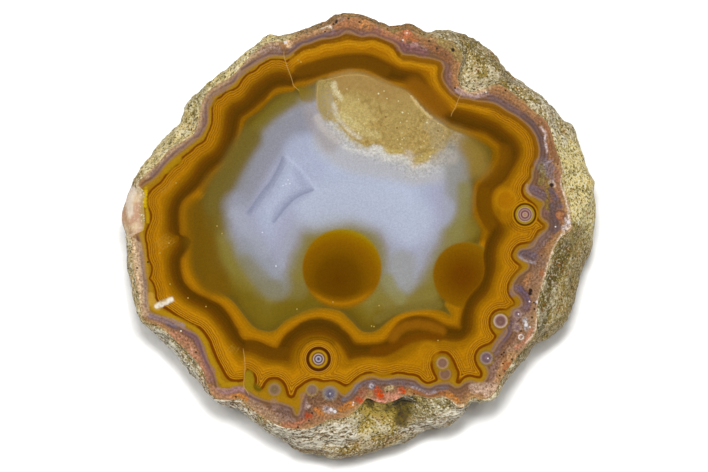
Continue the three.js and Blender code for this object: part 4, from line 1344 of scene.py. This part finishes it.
# %% Polished chalcedony: the olive layer and the heart
OLIVE_REACH = 5.0  # mm
olive_colour = add("ValToRGB", add("MapRange", olive, 0.0, OLIVE_REACH, 0.0, 1.0), stops="""
    0 #665018, 0.12 #614d12, 0.3 #6a5410, 0.6 #75611c, 1 #7d6f30""")
colour = add("Mix RGBA", passed(olive, 0.14), colour, olive_colour)
HAZE_WAVES = 2.4  # mm, how much the clouds push the edge of the haze in and out
HAZE_FROM, HAZE_TO = -2.6, 10.4  # mm inside the heart's front
hazy = add("Math MULTIPLY_ADD", cloud, HAZE_WAVES, heart)
heart_share = add("MapRange", hazy, HAZE_FROM + HAZE_WAVES / 2, HAZE_TO + HAZE_WAVES / 2, 0.0, 1.0)
heart_colour = add("ValToRGB", heart_share, stops="""
    0 #7d7240 0, 0.07 #7e7248 0.2, 0.123 #7f7353 0.42, 0.2 #848070 0.68, 0.262 #8c8787 0.86,
    0.338 #9596a1 0.97, 0.42 #989aa8 1, 0.526 #9a9bae 1, 0.615 #9d9fb4, 0.8 #a0a7bb, 0.97 #a9b1c7""")
colour = add("Mix RGBA", heart_colour.node.outputs["Alpha"], colour, heart_colour)
print("with the heart:", len(tree.nodes), "nodes")

# %% [markdown]
# The quartz is coarse and clear, with light caught on its inner faces: a dusty golden ground
# and a frosty fringe where it meets the heart. Its crystals are too many to draw, so two noises
# and one cell pattern stand for them. The strokes of the bands, the heart and the quartz come
# next. Near the quartz their cover is broken by grain, as crystals break a line.

# %% Polished chalcedony: the quartz and the strokes
FROST_PX = 100.0, 122.0  # down the picture; the fringe is frosty at the foot of the quartz only
FRINGE_WIDTH = 3.4  # mm
quartz = add("Attribute", attribute_name="quartz", out="Fac")
height_mm = add("SeparateXYZ", place_mm, out="Y")
down_px = add("Math MULTIPLY_ADD", height_mm, -1 / MM_PER_PX, ORIGIN_PX[1])
frost = add("MapRange", down_px, *FROST_PX, 0.0, 1.0)
gold = add("ValToRGB", add("MapRange", grain, 0.3, 0.7, 0.0, 1.0), stops="""
    0 #937943, 0.4 #9d844a, 0.65 #a68d52, 1 #b29b61""")
fringe_share = add("Math MULTIPLY_ADD", grain, 3.2, quartz)
fringe = add("ValToRGB", add("MapRange", fringe_share, -FRINGE_WIDTH, 1.6, 0.0, 1.0), stops="""
    0 #a5a5ae 0, 0.35 #a6a5a8 0.55, 0.6 #aeaba8 0.9, 0.8 #b5b0a4 1, 1 #a99a76 1""")
past_olive = passed(olive, 0.3)
fringe_room = passed(add("Math ADD", quartz, FRINGE_WIDTH), 1.6)
fringe_room = add("Math MULTIPLY", add("Math MULTIPLY", fringe_room, past_olive), frost)
fringe_cover = add("Math MULTIPLY", fringe.node.outputs["Alpha"], fringe_room)
colour = add("Mix RGBA", fringe_cover, colour, fringe)
ragged = add("Math MULTIPLY_ADD", add("Math MULTIPLY", grain, frost), 1.2, quartz)
gold_edge = add("Math MULTIPLY_ADD", frost, -0.6, ragged)
colour = add("Mix RGBA", passed(gold_edge, 0.25), colour, gold)

near_quartz = passed(add("Math ADD", quartz, 2.6), 0.6)
near_quartz = add("Math MULTIPLY", near_quartz, past_olive)
broken = add("Math MULTIPLY", near_quartz, add("MapRange", speckle, 0.38, 0.56, 0.3, 0.0))
unbroken = add("Math SUBTRACT", 1.0, broken)
inner_tint = add("Attribute", attribute_name="inner_tint", out="Color")
inner_cover = add("Math MULTIPLY", inner_tint.node.outputs["Alpha"], unbroken)
colour = add("Mix RGBA", inner_cover, colour, inner_tint)

# crystal faces: a coarse glitter of light and dark, strongest in the frosty foot
CRYSTALS, GLINTS = 1.9, 1.0  # per mm: about 0.5 and 1 mm apart
crystals = add("TexNoise", place_mm, CRYSTALS, 4.0, 0.75)
crystal_room = add("Math MULTIPLY", near_quartz, add("Math MULTIPLY_ADD", frost, 0.5, 0.12))
crystals = add("MapRange", crystals, 0.38, 0.62, -0.3, 0.3)
glitter = add("Math MULTIPLY_ADD", crystals, crystal_room, 1.0)
colour = add("HueSaturation", Value=glitter, Color=colour)
glints = add("TexVoronoi", place_mm, GLINTS, feature="F1", out="Distance")
glint_number = add("SeparateColor", glints.node.outputs["Color"], out="Red")
glint_chosen = add("Math GREATER_THAN", glint_number, 0.66)  # one cell in three has a glint
glint_chosen = add("Math MULTIPLY", glint_chosen, passed(quartz, 0.3))
glint = add("Math MULTIPLY", add("MapRange", glints, 0.06, 0.17, 0.75, 0.0), glint_chosen)
colour = add("Mix RGBA", glint, colour, linear("#dacd9e"))
print("with the quartz:", len(tree.nodes), "nodes")

# %% [markdown]
# Two round discs stand against the heart: bubbles of stained chalcedony, cut through. Each is a
# distance from its middle, sharp because the shader measures it at every pixel. The stain is
# deepest a little off the middle, and the first disc has an amber crescent at its foot.

# %% Polished chalcedony: the discs
def ring_distance(centre_px):
    """Distance in photo pixels from a place on the face."""
    middle = (*on_stone(centre_px), FACE_HEIGHT)
    away = add("VectorMath DISTANCE", place_mm, middle, out="Value")
    return add("Math MULTIPLY", away, 1 / MM_PER_PX)


def rings_around(centre_px, stops):
    """A colour ramp outwards from a place on the face, its stops in photo pixels."""
    widest = float(stops.split(",")[-1].split()[0])
    share = add("MapRange", ring_distance(centre_px), 0.0, widest, 0.0, 1.0)
    return add("ValToRGB", share, stops=stops, reach=widest)


FIRST_DISC = (342, 268.5), 39.6  # pixels: its middle and its radius
FOOT_PX = 284.0, 304.0  # down the picture, where its foot fades into the olive layer
CRESCENT_PX = 284.0, 300.0
first_body = rings_around((338, 280), """
    0 #5b3600, 14 #613d01, 20 #633f00, 30 #744c01, 38 #7f5302, 46 #8c6300, 52 #917c10""")
crescent = rings_around((341, 262.5), """
    0 #9a6505 0, 33 #9a6505 0, 38 #9a6505 0.4, 41 #9d6705 1, 44 #8c5c02 1""")
crescent_room = add("MapRange", down_px, *CRESCENT_PX, 0.0, 1.0, interpolation_type="SMOOTHSTEP")
crescent_cover = add("Math MULTIPLY", crescent.node.outputs["Alpha"], crescent_room)
first_body = add("Mix RGBA", crescent_cover, first_body, crescent)
foot_blur = add("MapRange", down_px, *FOOT_PX, 1.6, 3.6)
first_edge = add("Math ADD", FIRST_DISC[1], foot_blur)
first_edge = add("Math MULTIPLY_ADD", ring_distance(FIRST_DISC[0]), -1.0, first_edge)
first_cover = add("MapRange", first_edge, 0.0, add("Math MULTIPLY", foot_blur, 2.0), 0.0, 1.0,
                  interpolation_type="SMOOTHSTEP")
colour = add("Mix RGBA", first_cover, colour, first_body)

SECOND_DISC = (466, 275), 33  # pixels
SECOND_BLUR = 1.6
second_body = rings_around((463, 276), """
    0 #653801, 8 #673a01, 16 #6d4301, 24 #764c02, 32 #7f5603, 36 #7e6618""")
second_cover = add("MapRange", ring_distance(SECOND_DISC[0]), SECOND_DISC[1] - SECOND_BLUR,
                   SECOND_DISC[1] + SECOND_BLUR, 1.0, 0.0, interpolation_type="SMOOTHSTEP")
second_cover = add("Math MULTIPLY", second_cover, passed(orange, 0.3))
colour = add("Mix RGBA", second_cover, colour, second_body)
print("with the discs:", len(tree.nodes), "nodes")

# %% [markdown]
# The outer layer is finished first: its strokes are laid, with borders that grain breaks up,
# then a warm line against the yellow, and the ripples that run on into it.

# %% Polished chalcedony: the outer layer's strokes and ripples
OUTER_FADE = 0.5  # mm outside the yellow front over which the ripples grow to their full strength
RIPPLE_SHADE = 0.11  # share of the brightness
rim_tint = add("Attribute", attribute_name="rim_tint", out="Color")
rim_room = add("Math MULTIPLY_ADD", speckle, 0.7, grain)
rim_room = add("MapRange", rim_room, 0.65, 0.95, 0.35, 1.05)
rim_cover = add("Math MULTIPLY", rim_tint.node.outputs["Alpha"], rim_room)
colour = add("Mix RGBA", rim_cover, colour, rim_tint)
outer_room = add("MapRange", yellow, 0.0, -OUTER_FADE, 0.0, 1.0)
warm_from = add("MapRange", yellow, -0.5, -0.15, 0.0, 0.55)
warm_to = add("MapRange", yellow, 0.05, -0.02, 0.0, 1.0)
colour = add("Mix RGBA", add("Math MULTIPLY", warm_from, warm_to), colour, linear("#a07a4c"))
outer_value = add("Math MULTIPLY_ADD", outer_room, -0.09, 1.0)
ripple_room = add("Math MULTIPLY", ripple, outer_room)
outer_value = add("Math MULTIPLY_ADD", ripple_room, RIPPLE_SHADE, outer_value)
outer_vivid = add("Math MULTIPLY_ADD", outer_room, 0.04, 1.0)
colour = add("HueSaturation", Saturation=outer_vivid, Value=outer_value, Color=colour)
print("with the outer layer's strokes:", len(tree.nodes), "nodes")

# %% [markdown]
# Where a mineral thread stood in the hole, the layers wrapped round it, and the cut shows a
# ringed eye. Every eye is a list of rings: a radius in pixels, a colour, and how much it covers.
# One loop lays them all, so a new eye is one more entry.

# %% Polished chalcedony: the eyes
EYES = {
    "great eye": ((318.5, 359), """
        0 #3c3446, 0.8 #4a4254, 1.5 #766e7a, 2.3 #aca4a8, 2.9 #928a92, 3.5 #3e3038, 4 #4a383e,
        4.7 #b29a8c, 5.3 #a88c78, 6 #6a3c1e, 6.6 #7a5210, 7.4 #a47e16, 8.5 #aa8010, 9.2 #885606,
        9.9 #4c2602, 11.8 #482202, 12.4 #784608, 13.1 #ba862a, 13.8 #784406, 14.6 #b68210, 15.4 #885206,
        16.4 #b27a08 0.8, 20 #ae7608 0"""),
    "right eye": ((525, 214.5), """
        0 #a89458, 1 #946e50, 2.2 #b09080, 3 #7a5050, 3.8 #5c3a40, 4.8 #a88478, 5.8 #745456,
        6.5 #80604e, 7.2 #b4967a, 7.9 #8a6c2c, 8.8 #a08410, 9.5 #8a6408, 10.2 #4a2400, 11 #522a00,
        12.2 #b07c0c, 13.5 #b07608 0"""),
    "lower right eye": ((500.5, 321), """
        0 #7c5c50, 3.6 #70504a, 4.8 #84645e, 5.8 #a88c80, 6.6 #b49a80, 7.4 #8a6c34, 8.4 #7c560c 0.8,
        9.6 #7c560c 0"""),
    "upper twin": ((517.5, 314), """
        0 #6a5358, 2.2 #75595c, 3.2 #8a7068, 4.2 #967e70 0.8, 5.4 #8a6c58 0.4, 6.6 #8a6c58 0"""),
    "lower twin": ((517, 327.5), """
        0 #6e5658, 2 #7c605e, 3 #8c726a, 4 #96806e 0.8, 5.2 #8a6c58 0.4, 6.4 #8a6c58 0"""),
    "white ring": ((521, 337), "0 #8c6c58, 1.6 #967a68, 2.4 #d6ccc0, 3.2 #9a8070 0.6, 4.4 #9a8070 0"),
    "foot eye": ((486.5, 358), """
        0 #7c6468, 3.4 #6a545a, 4.6 #76605e, 5.5 #907a70, 6.4 #8a7054, 7.4 #80641c 0.8, 8.8 #80641c 0"""),
    "bottom eye": ((445, 374), """
        0 #7c5c48, 4.2 #7a5842, 5.2 #946e4e, 6 #8a6a38, 7 #865f14 0.8, 8.2 #865f14 0"""),
    "bottom eye above": ((442.5, 363), """
        0 #80604e, 3.6 #7a5a48, 4.6 #967256, 5.5 #a07e54, 6.4 #8a702a, 7.6 #8a6a10 0.8, 8.6 #8a6a08 0"""),
    "left eye": ((274.5, 389.5), """
        0 #7e6c4c, 1.5 #705c3c, 4 #7f644a, 5.2 #937052, 6.2 #8e7238, 7.6 #8e6c0e 0.7, 9 #8e6c0e 0"""),
    "small left eye": ((312, 390), "0 #7c645c, 4 #7f6554, 5.4 #947a4c 0.9, 7.2 #98802c 0"),
    "blue eye": ((330, 393.5), """
        0 #b0acac, 0.7 #8a868c, 1.4 #5a5460, 3.4 #645c68, 5.2 #7c7270, 7 #8c7c66 0.7, 9 #8c7c60 0"""),
    "rose eye": ((371.5, 386), "0 #8a7c80, 1.8 #a49a9c, 3 #7c6c70 0.8, 4.5 #7c6c70 0"),
    "orange bead": ((560, 215), "0 #a8754a, 3.4 #986442, 4.6 #74483a 0.9, 6 #5e4640 0"),
    "knot at the top": ((407, 33), """
        0 #e8d8cc, 0.8 #d8b49c, 1.6 #b86c44, 2.6 #c88460, 3.6 #a85c38 0.8, 5 #a85c38 0"""),
    "third disc": ((506, 200), """
        0 #9c6004 0.5, 5.5 #9e6204 0.4, 7.5 #a56a05 0.35, 9.6 #b27c0a 0.5, 11.2 #ab7508 0.3,
        14 #ac7206 0"""),
    "faint arc": ((428, 352), """
        0 #a06c06 0.5, 6 #a56f06 0.4, 8.6 #ae7a0a 0.5, 10.4 #a67006 0.3, 13 #ac7206 0"""),
}
for centre, rings in EYES.values():
    eye = rings_around(centre, rings)
    colour = add("Mix RGBA", eye.node.outputs["Alpha"], colour, eye)
print("eyes:", len(EYES), "- nodes:", len(tree.nodes))

# %% [markdown]
# Last come the cracks, the fissure and the specks. The outer layer is crumbly, so its brightness
# jumps from crumb to crumb and a few pits are open. A finer, weaker speckle keeps the bands from
# being as even as paint.

# %% Polished chalcedony: cracks, specks and gloss
CRACK_BLUR, STREAK_BLUR = 0.13, 0.15  # mm
FISSURE_SOFT, FISSURE_SHARP = 1.1, 0.3  # mm, how far its shade reaches on each side


def thin_line(under, name, code, cover, blur):
    """Lays a stored line over a colour."""
    away = add("Math ABSOLUTE", add("Attribute", attribute_name=name, out="Fac"))
    line = add("MapRange", away, 0.0, blur, cover, 0.0, interpolation_type="SMOOTHSTEP")
    there = add("Attribute", attribute_name=name + "_cover", out="Fac")
    return add("Mix RGBA", add("Math MULTIPLY", line, there), under, linear(code))


colour = thin_line(colour, "crack", "#c39c58", 0.6, CRACK_BLUR)
fissure = add("Attribute", attribute_name="fissure", out="Fac")
wall_sharp = add("MapRange", fissure, 0.0, FISSURE_SHARP, 0.7, 0.0)
wall_soft = add("MapRange", fissure, -FISSURE_SOFT, 0.0, 0.0, 1.0)
wall = add("Math MULTIPLY", wall_sharp, wall_soft)
wall = add("Math MULTIPLY", wall, add("Attribute", attribute_name="fissure_cover", out="Fac"))
colour = add("Mix RGBA", wall, colour, linear("#7b8097"))
colour = thin_line(colour, "streak", "#ad8636", 0.3, STREAK_BLUR)

# crumbs and pits of the outermost layer
FINE_CRUMBS, PIT_CELLS = 5.2, 0.62  # per mm: about 0.2 mm (one pixel) and 1.6 mm apart
crumb_room = add("MapRange", yellow, -0.6, -1.8, 0.0, 1.0)
fine_crumbs = add("TexNoise", place_mm, FINE_CRUMBS, 2.0, 0.6)
crumbs = add("Math MULTIPLY_ADD", grain, 0.8, speckle)
crumbs = add("MapRange", crumbs, 0.68, 1.12, -0.42, 0.42)
crumbs = add("Math MULTIPLY_ADD", crumbs, crumb_room, 1.0)
colour = add("HueSaturation", Value=crumbs, Color=colour)
pit_cells = add("TexVoronoi", place_mm, PIT_CELLS, feature="F1", out="Distance")
pit_number = add("SeparateColor", pit_cells.node.outputs["Color"], out="Red")
pit_chosen = add("Math GREATER_THAN", pit_number, 0.7)
pit = add("Math MULTIPLY", add("MapRange", pit_cells, 0.07, 0.14, 0.85, 0.0), pit_chosen)
colour = add("Mix RGBA", add("Math MULTIPLY", pit, crumb_room), colour, linear("#38241a"))

# the texture of the bands, then the specks that were painted on the mesh
texture = add("Math MULTIPLY_ADD", fine_crumbs, 0.6, speckle)
texture = add("MapRange", texture, 0.6, 1.0, 0.92, 1.08)
colour = add("HueSaturation", Value=texture, Color=colour)
speck_tint = add("Attribute", attribute_name="speck_tint", out="Color")
colour = add("Mix RGBA", speck_tint.node.outputs["Alpha"], colour, speck_tint)

CHALCEDONY_INDEX = 1.54
BAND_GLOSS, CRUMB_GLOSS = 0.03, 0.045  # roughness
gloss = add("MapRange", crumb_room, 0.0, 1.0, BAND_GLOSS, CRUMB_GLOSS)
colour = add("HueSaturation", Value=1 / OVEREXPOSED, Color=colour)
add("OutputMaterial", add("BsdfPrincipled", colour, Roughness=gloss, IOR=CHALCEDONY_INDEX))
stone_mesh.materials.append(chalcedony)
print("polished chalcedony:", len(tree.nodes), "nodes")

# %% [markdown]
# The skin is chalcedony that lay in the ground, weathered, with a crust of clay and lime. It
# was left as it was found, so it is dull: an index of 1.5 and a roughness of 0.85. Crests are
# paler, partly from chalk and partly as painted highlight, pits are darkened as painted shade,
# manganese leaves dark specks, and single grains of about half a millimetre show.
# The broken chip has no crust: it is smooth, pink and cream chalcedony.
# Each coat is one line of a table: its colour, what drives it, from which value to which it
# grows, how much it covers at most, and where it may lie.

# %% Weathered rind
RIND_GRAINS, RIND_PATCHES, FLAKES, MANGANESE_CELLS = 2.1, 0.62, 1.2, 0.95  # per mm
FLAKE_STRETCH = (0.6, 1.5, 1.5)  # the flakes are longer than they are high
rind = new_material("weathered_rind")
place_mm = add("VectorMath SCALE", add("TexCoord", out="Object"), 1000)
grains = add("TexNoise", place_mm, RIND_GRAINS, 2.0, 0.65)  # about 0.5 mm
patches = add("TexNoise", place_mm, RIND_PATCHES, 4.0, 0.7)  # about 1.6 mm, with finer ones in them
stretched = add("VectorMath MULTIPLY", place_mm, FLAKE_STRETCH)
flakes = add("TexNoise", stretched, FLAKES, 4.0, 0.7)
height, chalk, sand = (
    add("Attribute", attribute_name=name, out="Fac") for name in ("relief", "chalk", "sand")
)
flaky = add("MapRange", chalk, 1.0, 1.5, 0.0, 1.0)
RIND_COATS = [
    ("#75621f", patches, 0.5, 0.6, 0.7, sand),
    ("#a06c40", patches, 0.45, 0.37, 0.55, sand),
    # paler crests: partly chalk, partly a painted highlight on the tops of the relief
    ("#efe6cc", height, 0.12, 0.4, 0.6, chalk),
    ("#f2ecd6", grains, 0.45, 0.37, 0.9, chalk),
    # painted shade in the pits of the relief
    ("#3a2e16", height, -0.1, -0.45, 0.8, None),
    ("#3c300f", grains, 0.55, 0.63, 0.9, sand),
    ("#f8f0de", flakes, 0.51, 0.55, 0.95, flaky),
    ("#563c22", flakes, 0.47, 0.42, 0.85, flaky),
]
base = add("Attribute", attribute_name="skin_tint", out="Color")
for code, driver, grows_from, grows_to, most, room in RIND_COATS:
    cover = add("MapRange", driver, grows_from, grows_to, 0.0, most)
    if room is not None:
        cover = add("Math MULTIPLY", room, cover)
    base = add("Mix RGBA", cover, base, linear(code))

cells = add("TexVoronoi", place_mm, MANGANESE_CELLS, feature="F1", out="Distance")
cell_number = add("SeparateColor", cells.node.outputs["Color"], out="Red")
chosen = add("Math MULTIPLY", add("Math GREATER_THAN", cell_number, 0.5), sand)
manganese = add("Math MULTIPLY", add("MapRange", cells, 0.12, 0.2, 0.9, 0.0), chosen)
base = add("Mix RGBA", manganese, base, linear("#2a2010"))
RIND_VIVID, RIND_SHADE = 1.2, 0.92  # matched to the photograph
base = add("HueSaturation", Saturation=RIND_VIVID, Value=RIND_SHADE / OVEREXPOSED, Color=base)

GRAIN_HEIGHT, GRAIN_STRENGTH = 0.0004, 0.8  # metres
RIND_ROUGHNESS, RIND_INDEX = 0.85, 1.5
bumps = add("Bump", Height=add("Math MULTIPLY", grains, sand), Distance=GRAIN_HEIGHT,
            Strength=GRAIN_STRENGTH)
add("OutputMaterial", add("BsdfPrincipled", base, Roughness=RIND_ROUGHNESS, IOR=RIND_INDEX, Normal=bumps))
stone_mesh.materials.append(rind)
print("weathered rind:", len(tree.nodes), "nodes")

# %% [markdown]
# The stone lies on plain white card. A box would do, but only its top would ever show, so the
# card is one flat round face, wide enough to run out behind the stone. It is matt, with a faint
# fibre.

# %% Table
TABLE_RADIUS, TABLE_STEPS = 3.0, 96
TABLE_DROP = 0.00002  # metres below the stone, so that the two faces don't flicker
CARD_FIBRES = 900.0  # per metre: about 1.1 mm
rim_points = [
    (TABLE_RADIUS * math.cos(t), TABLE_RADIUS * math.sin(t), 0.0)
    for t in np.linspace(0, 2 * math.pi, TABLE_STEPS, endpoint=False)
]
table_mesh = bpy.data.meshes.new("pale_table")
table_mesh.from_pydata(rim_points, [], [list(range(TABLE_STEPS))])
table = bpy.data.objects.new("pale_table", table_mesh)
table.location.z = -TABLE_DROP
bpy.context.scene.collection.objects.link(table)
card = new_material("matt_white_card")
card_fibre = add("TexNoise", add("TexCoord", out="Object"), CARD_FIBRES, 2.0, 0.5)
card_colour = add("ValToRGB", card_fibre, stops="0.3 #fbfbfa, 0.7 #fdfdfc")
add("OutputMaterial", add("BsdfPrincipled", card_colour, Roughness=0.95, Specular_IOR_Level=0.2))
table_mesh.materials.append(card)
print("table:", 2 * TABLE_RADIUS, "m wide")

# %% [markdown]
# In the photograph the shadow is dark where the stone touches the paper, and gone some sixteen
# pixels further. Wide lamps at the sides would spread it into an even grey. So three small
# lamps stand close together, high up and a little behind, and three weak ones fill the sides.
# None stands straight above: the polished face mirrors what is above it, and would lay a grey
# veil over the browns. The sky is dim for the same reason, and darkest overhead.

# %% Lamps and sky
LAMPS = {  # where it stands (m), its size (m) and its power (W)
    "high_behind": ((0.0, 0.31, 2.12), 0.24, 35.0),
    "left_behind": ((-0.27, 0.16, 2.1), 0.24, 15.5),
    "right_behind": ((0.27, 0.14, 2.1), 0.24, 9.5),
    "high_right": ((0.75, 0.1, 2.05), 0.5, 0.7),
    "high_left": ((-0.75, 0.1, 2.05), 0.5, 0.7),
    "high_front": ((0.0, -0.75, 2.05), 0.5, 0.7),
}
for name, (spot, size, power) in LAMPS.items():
    lamp_data = bpy.data.lights.new(name, "AREA")
    lamp_data.size, lamp_data.energy = size, power
    lamp = bpy.data.objects.new(name, lamp_data)
    lamp.location = spot
    lamp.rotation_euler = Vector(spot).to_track_quat("Z", "Y").to_euler()
    bpy.context.scene.collection.objects.link(lamp)

SKY_STRENGTH = 0.09
sky = bpy.data.worlds.new("studio_sky")
bpy.context.scene.world = sky
sky.use_nodes = True
tree = sky.node_tree
tree.nodes.clear()
upwards = add("SeparateXYZ", add("TexCoord", out="Generated"), out="Z")
glow = add("ValToRGB", upwards, stops="0 #eaeff8, 0.8 #eaeff8, 0.93 #1c1c1e, 1 #08080a")
add("OutputWorld", add("Background", glow, SKY_STRENGTH))
bpy.context.scene.view_settings.view_transform = "Standard"
print("lamps:", len(LAMPS))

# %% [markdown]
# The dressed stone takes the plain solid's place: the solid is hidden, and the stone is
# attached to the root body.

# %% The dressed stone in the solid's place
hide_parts("agate")
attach(stone, "root")
bpy.context.view_layer.update()
